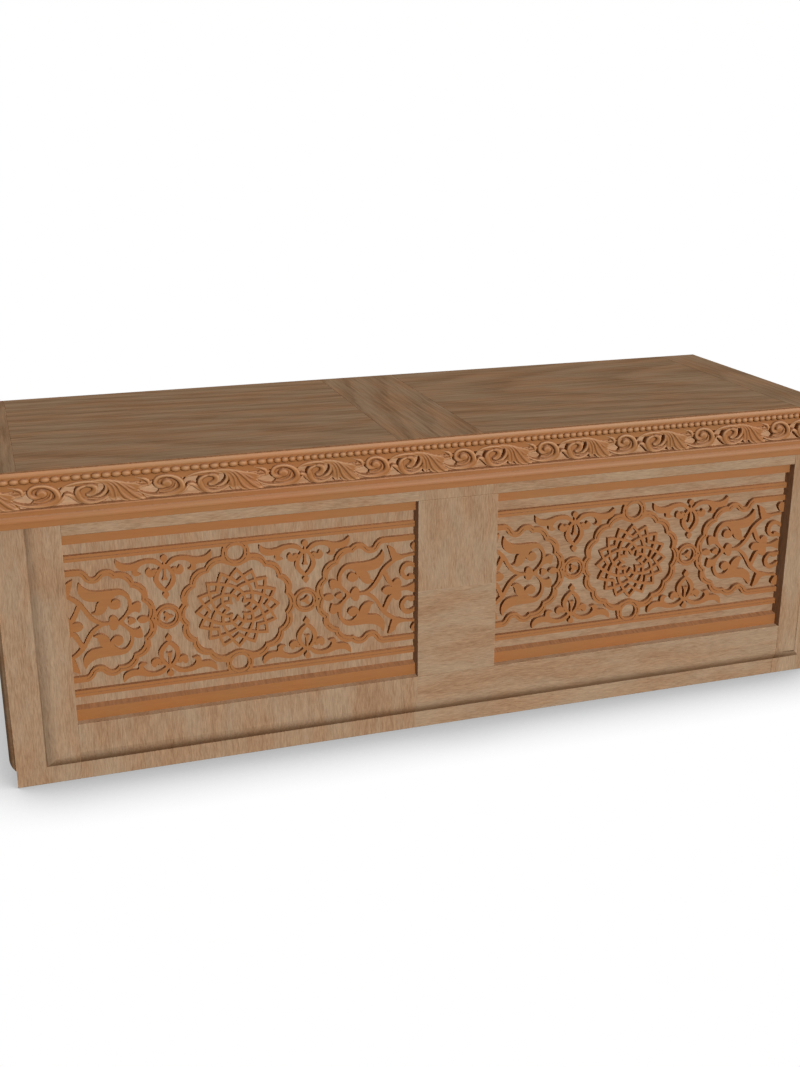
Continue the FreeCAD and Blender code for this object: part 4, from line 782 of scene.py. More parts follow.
class Drawing:
    """Signed distance to a flat drawing on a grid, in millimetres: below nought is wood."""

    def __init__(self, low, high, step):
        self.step = step
        self.u = np.arange(low[0], high[0] + step * 0.5, step)
        self.v = np.arange(low[1], high[1] + step * 0.5, step)
        self.wood = self.empty()
        self.line = self.empty()
        self.middles = []

    def empty(self):
        """Grid with nothing near."""
        return np.full((len(self.v), len(self.u)), NOWHERE)

    def window(self, points, reach):
        """Rows and columns of the grid about some points."""
        return (span(self.v, [point[1] for point in points], reach),
                span(self.u, [point[0] for point in points], reach))

    def away(self, points, target, reach, closed=False):
        """Distance to a line of points, kept where it is less than before."""
        for first, last in zip(points, points[1:] + points[:1] if closed else points[1:]):
            rows, columns = self.window((first, last), reach)
            if rows.start == rows.stop or columns.start == columns.stop:
                continue
            gap, _ = gap_to(first, last, *np.meshgrid(self.u[columns], self.v[rows]))
            target[rows, columns] = np.minimum(target[rows, columns], gap)

    def signed(self, points):
        """Distance to a closed outline, below nought inside."""
        field = self.empty()
        self.away(points, field, OUTLINE_REACH, closed=True)
        rows, columns = self.window(points, 0.0)
        part = field[rows, columns]
        inside = inside_of(points, *np.meshgrid(self.u[columns], self.v[rows]))
        field[rows, columns] = np.where(inside, -part, part)
        return field

    def join(self, field, blend=0.0):
        """Add wood; a blend fills the corner where it meets the rest."""
        if blend:
            near = np.maximum(blend - np.abs(self.wood - field), 0.0) / blend
            self.wood = np.minimum(self.wood, field) - near * near * blend / 4
        else:
            self.wood = np.minimum(self.wood, field)

    def solid(self, points, blend=0.0):
        """Add the inside of a closed outline."""
        self.join(self.signed(points), blend)

    def band(self, points, width, blend=0.0):
        """Add a band along a line."""
        field = self.empty()
        self.away(points, field, width / 2 + BAND_REACH)
        self.join(field - width / 2, blend)

    def hoop(self, middle, inner, outer, blend=0.0):
        """Add a round ring."""
        uu, vv = np.meshgrid(self.u - middle[0], self.v - middle[1])
        radius = np.hypot(uu, vv)
        self.join(np.maximum(inner - radius, radius - outer), blend)

    def hole(self, points):
        """Take away the inside of a closed outline."""
        self.wood = np.maximum(self.wood, -self.signed(points))

    def cut_line(self, points, closed=False):
        """A line cut along a band."""
        self.away(points, self.line, LINE_REACH, closed)
        self.middles.append((points, closed))

    def clip(self, low, high):
        """Take away what lies past two corners."""
        uu, vv = np.meshgrid(self.u, self.v)
        outside = np.maximum(np.maximum(low[0] - uu, uu - high[0]), np.maximum(low[1] - vv, vv - high[1]))
        self.wood = np.maximum(self.wood, outside)

    def value(self, field, points):
        """Field between the grid places."""
        places = np.asarray(points, dtype=float).reshape(-1, 2)
        a = np.clip((places[:, 0] - self.u[0]) / self.step, 0, len(self.u) - 1.001)
        b = np.clip((places[:, 1] - self.v[0]) / self.step, 0, len(self.v) - 1.001)
        i, j = b.astype(int), a.astype(int)
        s, t = a - j, b - i
        return ((field[i, j] * (1 - s) + field[i, j + 1] * s) * (1 - t)
                + (field[i + 1, j] * (1 - s) + field[i + 1, j + 1] * s) * t)

    def outlines(self, field, tolerance):
        """Closed lines where a field passes nought."""
        work = np.pad(field, 1, constant_values=5.0)
        work = np.where(np.abs(work) < 1e-6, 1e-6, work)
        inside = work < 0
        code = (inside[:-1, :-1] * 1 + inside[:-1, 1:] * 2 + inside[1:, 1:] * 4 + inside[1:, :-1] * 8)
        rows, columns = np.nonzero((code > 0) & (code < 15))
        pairs = {1: ((3, 0),), 2: ((0, 1),), 3: ((3, 1),), 4: ((1, 2),), 5: ((3, 0), (1, 2)), 6: ((0, 2),),
                 7: ((3, 2),), 8: ((2, 3),), 9: ((2, 0),), 10: ((0, 1), (2, 3)), 11: ((2, 1),), 12: ((1, 3),),
                 13: ((1, 0),), 14: ((0, 3),)}
        following = {}
        for i, j, kind in zip(rows.tolist(), columns.tolist(), code[rows, columns].tolist()):
            sides = ((0, i, j), (1, i, j + 1), (0, i + 1, j), (1, i, j))
            for first, last in pairs[kind]:
                following.setdefault(sides[first], []).append(sides[last])
                following.setdefault(sides[last], []).append(sides[first])

        def place(side):
            """Where the field passes nought on one side of a cell."""
            kind, i, j = side
            one = work[i, j]
            two = work[i, j + 1] if kind == 0 else work[i + 1, j]
            part = one / (one - two)
            return (self.u[0] + (j - 1 + (part if kind == 0 else 0)) * self.step,
                    self.v[0] + (i - 1 + (part if kind == 1 else 0)) * self.step)

        loops, seen = [], set()
        for start in following:
            if start in seen:
                continue
            loop, here = [], start
            while here is not None and here not in seen:
                seen.add(here)
                loop.append(place(here))
                choices = [side for side in following[here] if side not in seen]
                here = choices[0] if choices else None
            if len(loop) > 5:
                loops.append(thinned(loop, tolerance))
        return [loop for loop in loops if len(loop) > 2]


def thinned(loop, tolerance):
    """The loop without the points that lie on straight runs."""
    points = np.asarray(loop)
    far = int(np.argmax(np.hypot(*(points - points[0]).T)))
    keep = np.zeros(len(points), dtype=bool)
    keep[[0, far]] = True
    stack = [(0, far), (far, len(points))]
    while stack:
        first, last = stack.pop()
        if last - first < 2:
            continue
        a, b = points[first], points[last % len(points)]
        run = b - a
        length = math.hypot(*run)
        inner = points[first + 1:last]
        off = inner - a
        if length < 1e-9:
            gap = np.hypot(*off.T)
        else:
            gap = np.abs(off[:, 0] * run[1] - off[:, 1] * run[0]) / length
        worst = int(np.argmax(gap))
        if gap[worst] > tolerance:
            keep[first + 1 + worst] = True
            stack += [(first, first + 1 + worst), (first + 1 + worst, last)]
    return [tuple(point) for point in points[keep]]


# Tolerance of the outlines and of the cut lines, and the least wood beside a cut line, in millimetres.
OUTLINE_TOLERANCE, LINE_TOLERANCE = 0.025, 0.04
LINE_MARGIN = 0.45
# A place nearer than this share of the line's width to its middle lies at its full depth.
LINE_CORE = 0.3
# Points nearer than this are one, and a smaller face is a sliver, in millimetres and square millimetres.
SAME_POINT, SLIVER = 0.001, 1e-7
SMOOTH_CARVING = math.radians(32)
# Painted shade in the cut lines and at the foot of the walls makes them darker than the face.
LINE_SHADE, FOOT_SHADE = 0.55, 0.5


def smooth_mesh(name, places, faces):
    """New mesh with smooth faces."""
    mesh = bpy.data.meshes.new(name + "_shape")
    mesh.from_pydata(places, [], faces)
    mesh.polygons.foreach_set("use_smooth", [True] * len(mesh.polygons))
    return mesh


def carving_mesh(name, drawing, centre, front, ground, line_width, line_depth):
    """Flat carved layer: front face with cut lines and upright walls down to the ground, in metres."""
    places, edges, sunken = [], [], []

    def lay(points, sunk=False, closed=True):
        """Add a line to what the faces must follow."""
        start = len(places)
        places.extend(Vector(point) for point in points)
        sunken.extend([sunk] * len(points))
        edges.extend((start + k, start + k + 1) for k in range(len(points) - 1))
        if closed:
            edges.append((start + len(points) - 1, start))

    for loop in drawing.outlines(drawing.wood, OUTLINE_TOLERANCE):
        lay(loop)
    if drawing.middles:
        channel = np.maximum(drawing.line - line_width / 2, drawing.wood + LINE_MARGIN)
        for loop in drawing.outlines(channel, LINE_TOLERANCE):
            lay(loop)
        for points, closed in drawing.middles:
            deep = drawing.value(channel, points) < -line_width * LINE_CORE
            run = []
            for index, point in enumerate(points):
                if deep[index]:
                    run.append(point)
                    continue
                if len(run) > 1:
                    lay(run, sunk=True, closed=False)
                run = []
            if len(run) > 1:
                lay(run, sunk=True, closed=closed and len(run) == len(points))
    corners_out, _, faces, origin, _, _ = delaunay_2d_cdt(places, edges, [], 0, SAME_POINT)
    flat = np.array([(point[0], point[1]) for point in corners_out])
    faces = np.array([face for face in faces if len(face) == 3])
    faces = faces[drawing.value(drawing.wood, flat[faces].mean(axis=1)) < 0]
    # Slivers go, and every face looks the same way.
    one, two, three = (flat[faces[:, k]] for k in range(3))
    run, rise = two - one, three - one
    area = run[:, 0] * rise[:, 1] - run[:, 1] * rise[:, 0]
    faces = faces[np.abs(area) > SLIVER]
    area = area[np.abs(area) > SLIVER]
    faces[area < 0] = faces[area < 0][:, ::-1]
    depth = np.zeros(len(flat))
    for index, sources in enumerate(origin):
        if sources:
            depth[index] = line_depth if sunken[sources[0]] else 0.0
        elif drawing.middles and drawing.value(drawing.line, [flat[index]])[0] < line_width * LINE_CORE:
            depth[index] = line_depth
    used, faces = np.unique(faces, return_inverse=True)
    faces = faces.reshape(-1, 3)
    flat, depth = flat[used], depth[used]
    # Edges with a face on one side only carry the walls.
    borders = {}
    for a, b, c in faces.tolist():
        for edge in ((a, b), (b, c), (c, a)):
            if borders.pop((edge[1], edge[0]), None) is None:
                borders[edge] = True
    rim = sorted({index for edge in borders for index in edge})
    below = {index: len(flat) + place for place, index in enumerate(rim)}
    x, z = centre
    points = [((x + u) * MM, (front + low) * MM, (z + v) * MM) for (u, v), low in zip(flat, depth)]
    points += [((x + flat[index][0]) * MM, ground * MM, (z + flat[index][1]) * MM) for index in rim]
    mesh = smooth_mesh(name, points, faces.tolist() + [(b, a, below[a], below[b]) for a, b in borders])
    mesh.set_sharp_from_angle(angle=SMOOTH_CARVING)
    # Painted shade in the cut lines and at the foot of the walls.
    set_shade_and_highlight(mesh, [LINE_SHADE if low > 0 else 0.0 for low in depth] + [FOOT_SHADE] * len(rim))
    mesh.update()
    return mesh


# Outlines of the carved motifs, in millimetres from the middle of a medallion. A third value is a sharp
# corner. The drop, hole, stem and point of the pendant are drawn right of its middle line only.
PENDANT = 98.3
PENDANT_ARM = (
    (98.3, 73.9), (101.5, 77.3), (107.5, 83.3), (114.5, 85.8), (122.5, 86.2), (130.5, 85.3), (138.5, 82.8),
    (146.5, 81.8), (154.5, 83.5), (159.5, 87.0), (163.0, 90.0, 1), (163.6, 84.5), (161.5, 78.2),
    (155.5, 74.0), (149.5, 72.9), (143.8, 73.3, 1), (141.6, 71.6), (141.3, 66.6), (137.0, 63.9),
    (129.5, 65.9, 1), (133.6, 68.2), (134.5, 71.8), (132.0, 76.0), (126.5, 79.5), (118.5, 80.6),
    (111.5, 78.6), (105.5, 74.8), (102.6, 71.4),
)
PENDANT_CURL = (
    (100.2, 74.2), (102.6, 69.9), (106.2, 68.7), (110.8, 71.0), (115.4, 69.9, 1), (113.4, 67.9),
    (116.6, 69.6, 1), (119.2, 73.3), (123.6, 69.6), (123.4, 63.8), (118.6, 60.2), (113.2, 61.2),
    (110.7, 65.0), (109.6, 68.2, 1), (107.4, 66.0), (103.5, 67.2), (99.6, 71.0),
)
PENDANT_DROP = (
    (98.3, 77.4), (103.8, 73.6), (108.2, 68.4), (112.2, 61.0), (113.3, 53.5), (110.8, 46.8), (105.5, 40.4),
    (98.3, 35.6, 1),
)
PENDANT_HOLE = (
    (98.3, 72.6, 1), (102.4, 68.6), (106.0, 62.0), (106.7, 54.8), (103.6, 47.4), (98.3, 40.9, 1),
)
PENDANT_STEM = ((98.3, 73.6), (99.6, 72.0), (100.0, 62.0), (100.5, 58.0), (102.8, 52.9, 1), (98.3, 54.2))
PENDANT_POINT = ((98.3, 36.6), (101.6, 35.0), (102.8, 32.0), (101.0, 29.0), (98.3, 25.4, 1))
# Round head over a pendant and the neck under it: heights, radius and width.
PENDANT_HEAD, PENDANT_HEAD_RADIUS = 85.4, 4.5
PENDANT_NECK, PENDANT_NECK_WIDTH = (80.0, 74.0), 2.4
PALMETTE = (
    (145.0, 23.8), (145.2, 28.6), (146.8, 34.0), (149.6, 39.6), (153.6, 44.0), (158.5, 46.8), (165.5, 47.7),
    (175.5, 47.8), (185.5, 47.8), (195.5, 49.0), (202.5, 51.8), (208.5, 56.8), (212.6, 63.0, 1),
    (214.6, 57.0), (214.6, 49.4), (212.2, 43.2), (208.0, 38.4), (202.8, 35.6), (196.0, 34.4),
    (187.5, 33.8, 1), (191.2, 29.8), (192.9, 24.0), (194.6, 19.2), (199.5, 16.8, 1), (191.5, 13.8),
    (184.8, 15.6), (179.8, 20.4), (177.2, 26.4), (177.6, 30.6, 1), (176.4, 25.8), (173.2, 21.6),
    (167.4, 19.5), (161.4, 21.8), (159.6, 26.8), (161.6, 31.4), (166.0, 33.8), (169.8, 32.8, 1),
    (168.4, 37.2), (164.5, 39.6), (158.8, 39.6), (153.8, 36.0), (150.4, 30.0), (149.6, 23.8), (150.6, 17.8),
    (154.2, 11.8), (158.4, 6.8), (163.5, 2.4), (163.5, -1.0, 1), (157.0, -1.0, 1), (157.2, 2.0),
    (152.5, 6.8), (147.2, 11.6), (142.4, 13.2), (138.4, 12.2), (136.0, 10.4, 1), (134.2, 13.8),
    (132.8, 21.8), (133.6, 25.0), (137.0, 26.4), (141.5, 25.4),
)
PALMETTE_SLIT = (
    (163.0, 36.4, 1), (167.6, 37.2), (171.6, 34.0), (173.0, 29.4, 1), (170.2, 32.6), (166.2, 34.4),
)
LENS = doubled(((122.0, 0.0, 1), (127.0, 4.0), (132.0, 5.0), (136.0, 4.0), (139.6, 0.0, 1)))
HEART = doubled(((141.0, 0.0), (143.4, 3.0), (147.0, 4.4), (150.4, 5.4), (151.6, 2.8), (151.0, 0.0)))
BLOCK = ((163.0, -2.0), (164.6, 3.6), (167.4, 8.6), (171.5, 10.4), (175.4, 8.6), (176.8, 3.2), (176.8, -3.2),
         (175.4, -8.6), (171.5, -10.4), (167.4, -8.6), (164.6, -3.6))
STEM = (
    (175.5, 0.8), (185.5, 2.8), (193.5, 7.8), (199.5, 14.8), (205.5, 23.8), (209.5, 31.4), (215.0, 37.8),
    (221.5, 42.8), (226.6, 46.2, 1), (224.4, 52.6), (222.2, 60.4), (220.0, 68.4, 1), (225.2, 66.2),
    (230.2, 62.6), (232.6, 57.8), (236.0, 53.8), (242.0, 52.0), (250.5, 52.4), (262.0, 53.8, 1),
    (262.0, 49.8, 1), (251.5, 49.3), (244.5, 47.6), (239.0, 45.4), (233.5, 44.4), (227.6, 40.8),
    (221.4, 35.6), (217.4, 31.2, 1), (220.4, 24.6), (223.4, 18.4), (226.8, 13.0), (229.4, 8.6, 1),
    (225.2, 6.6), (220.4, 10.8), (217.4, 16.4), (214.8, 22.6), (212.6, 26.0, 1), (209.4, 19.8),
    (204.4, 11.6), (198.2, 5.0), (188.5, -0.4), (178.5, -2.2),
)
TREFOIL = doubled((
    (211.4, 0.0), (213.2, 3.6), (216.6, 6.0), (221.5, 6.4), (225.6, 5.4, 1), (226.6, 9.0), (229.3, 13.8),
    (233.8, 16.6), (238.4, 15.4), (240.4, 11.0), (240.0, 6.0), (239.2, 3.0, 1), (244.0, 2.4), (250.0, 3.2),
    (255.2, 5.4), (262.0, 8.4, 1),
))
HOOK = (
    (240.0, 20.4), (238.6, 25.0), (239.4, 31.0), (242.2, 36.4), (246.6, 39.6), (252.0, 40.4), (257.4, 38.8),
    (264.0, 35.0, 1), (264.0, 28.0, 1), (258.4, 32.0), (252.6, 34.0), (247.6, 32.4), (245.0, 27.6),
    (245.6, 22.6), (248.4, 19.0), (250.8, 17.8, 1), (252.4, 20.4), (257.0, 21.0), (264.0, 17.4, 1),
    (264.0, 12.0, 1), (258.4, 13.6), (252.6, 13.4), (247.8, 13.2), (243.4, 16.0),
)
EDGE_LEAF = (
    (255.4, 64.6), (258.2, 68.8), (262.4, 70.0), (266.0, 69.0, 1), (266.0, 54.0, 1), (261.4, 54.4),
    (257.4, 59.0),
)
# Lobed rings: width of a lobe in degrees, inner and outer radius of its cusps and crowns, angle where the
# lobes of the middle ring, of the line cut along it and of its neighbours begin, and how many are drawn.
LOBE = 22.5
RING_CUSP, RING_CROWN = (69.4, 77.6), (74.0, 83.0)
RING_FIRST, RING_LINE_FIRST, RING_LOBES = -78.75, -79.6, 7
NEIGHBOUR, NEIGHBOUR_FIRST, NEIGHBOUR_LOBES = 195.2, {1: 112.5, -1: -67.5}, 6
# Eyes and links: inner and outer radius, the radius of the cut line and the place on the ring.
EYE, EYE_LINE, EYE_RISE = (11.7, 19.5), 15.6, 82.5
LINK, LINK_LINE, LINK_REACH = (10.9, 17.9), 14.2, 97.6
LINK_SPEAR = doubled((
    (-8.4, 0.0, 1), (-4.6, 1.8), (-1.6, 2.8), (0.2, 5.0), (2.4, 6.9), (4.6, 5.8), (4.8, 3.0), (3.4, 0.0),
))
# Long strips over and under the rings: lower and upper edge.
STRIP = (93.6, 102.4)
# Band between two rings: its three bows, each with its number of pieces, its end and its width.
BOWS = (
    (((166.6, 68.4), (176.4, 73.4), (186.2, 68.4)), 12),
    (((186.2, 68.4), (194.6, 64.2), (203.0, 69.0)), 12),
    (((203.0, 69.0), (206.4, 74.2), (212.0, 77.3)), 8),
)
BAND_END, BAND_WIDTH = (270.0, 77.3), 8.0
# Width of the filled corners where these meet other wood, and how far the strips run on past the openings.
BAND_BLEND, EYE_BLEND, LINK_BLEND, STRIP_BLEND, NECK_BLEND = 1.0, 5.0, 2.0, 2.5, 1.5
OVERRUN = 5


def lobes(middle, first, count, cusp, crown):
    """Scalloped line of lobes."""
    line = []
    for step in range(count):
        start = first + LOBE * step
        line += arc_points(polar(cusp, start, middle), polar(crown, start + LOBE / 2, middle),
                           polar(cusp, start + LOBE, middle), 14)[:-1]
    line.append(polar(cusp, first + LOBE * count, middle))
    return line


def ring_part(middle, first, count):
    """Closed outline of some lobes of a ring."""
    outer = lobes(middle, first, count, RING_CUSP[1], RING_CROWN[1])
    return outer + lobes(middle, first, count, RING_CUSP[0], RING_CROWN[0])[::-1]


def ring_line(middle, first, count):
    """Line along the middle of some lobes of a ring."""
    return lobes(middle, first, count, sum(RING_CUSP) / 2, sum(RING_CROWN) / 2)


def whole_outline(half):
    """Outline of a part of the pendant from its right half; a sharp last place stays single."""
    inner = half[1:-1] if len(half[-1]) > 2 else half[1:]
    return curve_through(half + tuple(mirrored(inner, PENDANT))[::-1])


def draw_rings(d):
    """Lobed rings, the bands between them, their eyes and their links."""
    outline = ring_part((0, 0), RING_FIRST, RING_LOBES)
    line = ring_line((0, 0), RING_LINE_FIRST, RING_LOBES)
    for way in (1, -1):
        d.solid(outline if way > 0 else mirrored(outline))
        d.cut_line(line if way > 0 else mirrored(line))
        neighbour = ((way * NEIGHBOUR, 0), NEIGHBOUR_FIRST[way], NEIGHBOUR_LOBES)
        d.solid(ring_part(*neighbour))
        d.cut_line(ring_line(*neighbour))
    tail = []
    for (first, middle, last), pieces in BOWS:
        tail = tail[:-1] + arc_points(first, middle, last, pieces)
    for line in four(tail + [BAND_END]):
        d.band(line, BAND_WIDTH, BAND_BLEND)
        d.cut_line(line)
    for up in (1, -1):
        middle = (0, up * EYE_RISE)
        d.hoop(middle, *EYE, EYE_BLEND)
        d.cut_line([polar(EYE_LINE, degrees, middle) for degrees in range(0, 360, 8)], closed=True)
    for side in (1, -1):
        middle = (side * LINK_REACH, 0)
        d.hoop(middle, *LINK, LINK_BLEND)
        d.cut_line([polar(LINK_LINE, degrees, middle) for degrees in range(0, 360, 9)], closed=True)


def draw_strips(d, start, end):
    """Long strips over and under the rings."""
    left, right = start - OVERRUN, end + OVERRUN
    for up in (1, -1):
        low, high = sorted((up * STRIP[0], up * STRIP[1]))
        d.solid([(left, low), (right, low), (right, high), (left, high)], STRIP_BLEND)
        d.cut_line([(u, up * sum(STRIP) / 2) for u in np.arange(left, right, 3.0)])


def draw_leaves(d):
    """Spears of the links, pendants and leaf motifs."""
    for spear in both([(LINK_REACH + point[0],) + point[1:] for point in LINK_SPEAR]):
        d.solid(curve_through(spear))
    leaves = (PENDANT_ARM, PENDANT_CURL)
    for outline in leaves + tuple(mirrored(leaf, PENDANT) for leaf in leaves):
        for shape in four(curve_through(outline)):
            d.solid(shape)
    for shape, gap in zip(four(whole_outline(PENDANT_DROP)), four(whole_outline(PENDANT_HOLE))):
        d.solid(shape)
        d.hole(gap)
    for outline in (PENDANT_STEM, PENDANT_POINT):
        for shape in four(whole_outline(outline)):
            d.solid(shape)
    for up in (1, -1):
        for side in (1, -1):
            d.hoop((side * PENDANT, up * PENDANT_HEAD), -1.0, PENDANT_HEAD_RADIUS)
            d.band([(side * PENDANT, up * v) for v in PENDANT_NECK], PENDANT_NECK_WIDTH, NECK_BLEND)
    for outline in (PALMETTE, STEM, HOOK, EDGE_LEAF):
        for shape in four(curve_through(outline)):
            d.solid(shape)
    for shape in four(curve_through(PALMETTE_SLIT)):
        d.hole(shape)
    for outline in (LENS, HEART, BLOCK, TREFOIL):
        for shape in both(curve_through(outline)):
            d.solid(shape)


def draw_fret(length, axis, step):
    """Fret of one opening, cut off at the opening's ends."""
    start, end = -axis, length - axis
    d = Drawing((start - 1.0, -STRIP[1] - 1.0), (end + 1.0, STRIP[1] + 1.0), step)
    draw_rings(d)
    draw_strips(d, start, end)
    draw_leaves(d)
    d.clip((start, -STRIP[1]), (end, STRIP[1]))
    return d


# Star: half its grid, its band, the radii of its crossings, their turns and the bend of the innermost arc.
STAR_HALF, STAR_BAND = 61.5, 3.6
STAR_RADII = (57.3, 47.1, 39.3, 29.7, 22.3, 12.5)
STAR_TURNS = (0, 11.25, 22.5, 45, 67.5, 90)
STAR_BEND = (17.94, 79.7)
# Pointed crossings: turn in the star, radius, the radius of the next crossing and the turn to it.
STAR_TIPS = ((0, 57.3, 47.1, 11.25), (22.5, 57.3, 47.1, 11.25), (0, 39.3, 47.1, 11.25), (0, 12.5, 22.3, 22.5))


def star_tip(degrees, radius, other, spread):
    """Kite that fills the pointed side of a crossing."""
    arm = polar(other, spread)
    reach = math.atan2(arm[1], abs(arm[0] - radius))
    sign = 1.0 if radius > other else -1.0
    side = (radius + sign * math.sin(reach) * STAR_BAND / 2, math.cos(reach) * STAR_BAND / 2)
    tip = (radius + sign * STAR_BAND / 2 / math.sin(reach), 0.0)
    turn = math.radians(degrees)
    return [(u * math.cos(turn) - v * math.sin(turn), u * math.sin(turn) + v * math.cos(turn))
            for u, v in ((radius, 0.0), side, tip, (side[0], -side[1]))]


def draw_star(step):
    """Star of sixteen points woven from long arcs that meet at every second crossing."""
    d = Drawing((-STAR_HALF, -STAR_HALF), (STAR_HALF, STAR_HALF), step)
    for k in range(8):
        even = 45 * k
        for way in (1, -1):
            path = [polar(radius, even + way * turn) for radius, turn in zip(STAR_RADII, STAR_TURNS)]
            bend = polar(STAR_BEND[0], even + way * STAR_BEND[1])
            short = [polar(radius, even + STAR_TURNS[2] + way * turn)
                     for radius, turn in zip(STAR_RADII[:3], STAR_TURNS)]
            for arc in (path[:3], path[2:5], (path[4], bend, path[5]), short):
                d.band(arc_points(*arc), STAR_BAND)
        for turn, radius, other, spread in STAR_TIPS:
            d.solid(star_tip(even + turn, radius, other, spread))
    return d


# Step of the star's grid against the fret's, how far a carved layer reaches into the wood behind it, in
# millimetres, and the fewest faces of a carving that isn't empty.
STAR_STEP_SHARE, SUNK_IN, FEWEST_FACES = 0.8, 0.2, 500


class CHEST_OT_frets(bpy.types.Operator):
    """Carve the frets and the woven stars of both openings"""
    bl_idname = "chest.frets"
    bl_label = "Frets and stars"

    def execute(self, context):
        sizes = context.scene.chest_sizes
        step = sizes.carving_step / MM
        star = draw_star(step * STAR_STEP_SHARE)
        for side in ("left", "right"):
            low, high = corners(side + "_fret")
            star_low, star_high = corners(side + "_rosette")
            middle = ((star_low[0] + star_high[0]) / 2, (star_low[2] + star_high[2]) / 2)
            drawing = draw_fret(high[0] - low[0], middle[0] - low[0], step)
            for node, shape in ((side + "_fret", drawing), (side + "_rosette", star)):
                mesh = carving_mesh(node, shape, middle, low[1], high[1] + SUNK_IN,
                                    sizes.line_width / MM, sizes.line_depth / MM)
                if len(mesh.polygons) < FEWEST_FACES:
                    raise RuntimeError("the carving came out empty")
                mesh.materials.append(MATERIALS["carving_wood"])
                finished(node + "_carving", mesh, node, "carving_wood", node)
        return {"FINISHED"}


# Running scroll of the cornice

# One length of the scroll in tenths of a millimetre: to the right and down from its upper left corner.
# Each stroke is a line of (right, down, width) and its height over the ground in millimetres.
SCROLL = (
    # stem over the small scroll
    (((276, 206, 6), (312, 164, 24), (380, 134, 40), (470, 118, 48), (560, 118, 52), (630, 128, 46),
      (700, 150, 34)), 4.8),
    # tail leaf
    (((300, 286, 8), (322, 268, 34), (352, 268, 52), (390, 292, 58), (430, 334, 54), (474, 380, 42),
      (524, 402, 20)), 4.2),
    # small scroll, its curled head and the leaf inside it
    (((575, 172, 26), (530, 168, 40), (480, 188, 52), (450, 228, 70), (455, 290, 92), (478, 340, 84),
      (520, 376, 66), (580, 394, 52), (650, 390, 46), (715, 368, 40), (770, 336, 30)), 5.4),
    (((540, 162, 34), (600, 172, 62), (634, 208, 84), (622, 256, 88), (580, 286, 70), (548, 288, 40)), 5.9),
    (((600, 330, 14), (650, 326, 34), (700, 306, 50), (740, 262, 56), (752, 214, 50), (738, 168, 36),
      (700, 138, 24), (650, 118, 14)), 5.0),
    (((548, 346, 18), (600, 352, 30), (660, 366, 30), (720, 352, 34), (762, 318, 34), (782, 270, 30)), 4.4),
    # acanthus leaf, fold after fold
    (((640, 118, 16), (708, 138, 30), (762, 186, 42), (788, 250, 48), (800, 320, 48), (806, 388, 24)), 5.2),
    (((690, 112, 18), (772, 146, 34), (822, 206, 44), (842, 276, 50), (846, 340, 42), (842, 384, 18)), 5.7),
    (((735, 108, 18), (820, 150, 36), (872, 216, 48), (902, 290, 54), (944, 356, 62), (1000, 398, 40)), 6.1),
    (((775, 108, 18), (862, 146, 34), (932, 212, 48), (990, 284, 54), (1050, 350, 64), (1110, 394, 46),
      (1160, 410, 10)), 6.0),
    (((905, 348, 24), (950, 386, 40), (1020, 402, 36), (1100, 412, 16)), 4.4),
    (((815, 114, 16), (900, 156, 32), (972, 212, 42), (1040, 262, 40), (1104, 272, 8)), 5.4),
    (((1000, 296, 40), (1050, 318, 50), (1100, 350, 50), (1130, 385, 30)), 4.8),
    (((850, 118, 12), (930, 158, 28), (1000, 196, 34), (1060, 232, 28), (1104, 246, 8)), 4.8),
    (((900, 142, 8), (960, 164, 20), (1030, 180, 24), (1100, 176, 8)), 4.0),
    # flame leaf behind the volute
    (((1050, 106, 6), (1096, 122, 26), (1150, 138, 48), (1188, 172, 56), (1196, 222, 40)), 5.2),
    (((1002, 222, 8), (1060, 236, 28), (1120, 238, 36), (1180, 222, 42), (1226, 190, 30)), 4.6),
    (((1050, 196, 8), (1110, 194, 24), (1170, 200, 30)), 4.8),
    # stem that grows into the volute
    (((1078, 296, 10), (1124, 330, 26), (1180, 360, 34), (1250, 378, 44), (1320, 384, 56), (1400, 380, 66),
      (1480, 364, 78), (1532, 330, 86), (1552, 280, 86), (1540, 224, 80), (1500, 168, 70), (1440, 132, 60),
      (1370, 120, 56), (1310, 134, 60), (1276, 168, 66), (1266, 212, 68), (1288, 252, 66), (1330, 268, 64),
      (1372, 254, 70)), 6.0),
    (((1460, 396, 24), (1530, 372, 50), (1584, 332, 52), (1612, 296, 34), (1628, 262, 6)), 5.0),
    (((1310, 338, 20), (1370, 344, 34), (1430, 328, 46), (1474, 292, 44), (1488, 244, 30)), 4.6),
    (((1366, 224, 90), (1390, 226, 126), (1412, 228, 96)), 6.4),
)
# Outlines of the wood that the strokes stand on, and its height in millimetres.
BODIES = (
    # acanthus leaf
    (((600, 98), (700, 94), (800, 108), (880, 136), (960, 166), (1050, 186), (1112, 222), (1114, 258),
      (1062, 262), (1094, 284), (1084, 304), (1020, 300), (1060, 330), (1110, 362), (1160, 402), (1100, 416),
      (960, 416), (905, 398), (866, 358), (822, 384), (795, 384), (775, 345), (772, 290), (778, 240),
      (745, 180), (690, 134), (640, 116)), 4.7),
    # small scroll
    (((430, 230), (470, 184), (560, 160), (640, 200), (655, 260), (620, 300), (560, 300), (540, 330),
      (600, 345), (690, 340), (762, 310), (745, 380), (640, 410), (520, 408), (440, 340)), 2.4),
    # volute
    (((1250, 160), (1300, 122), (1380, 106), (1470, 128), (1540, 190), (1580, 290), (1540, 372),
      (1440, 404), (1300, 398), (1262, 370), (1304, 316), (1270, 270), (1244, 220)), 2.2),
    # flame leaf
    (((1080, 118), (1120, 120), (1180, 150), (1232, 200), (1200, 244), (1110, 246), (1052, 236),
      (1100, 200), (1120, 160)), 3.0),
)
# One length of the scroll, its upper edge, its foot and the middle of its volute, in millimetres.
SCROLL_LENGTH, SCROLL_TOP, SCROLL_FOOT, SCROLL_VOLUTE = 130.5, 440.9, 3.9, 137.0
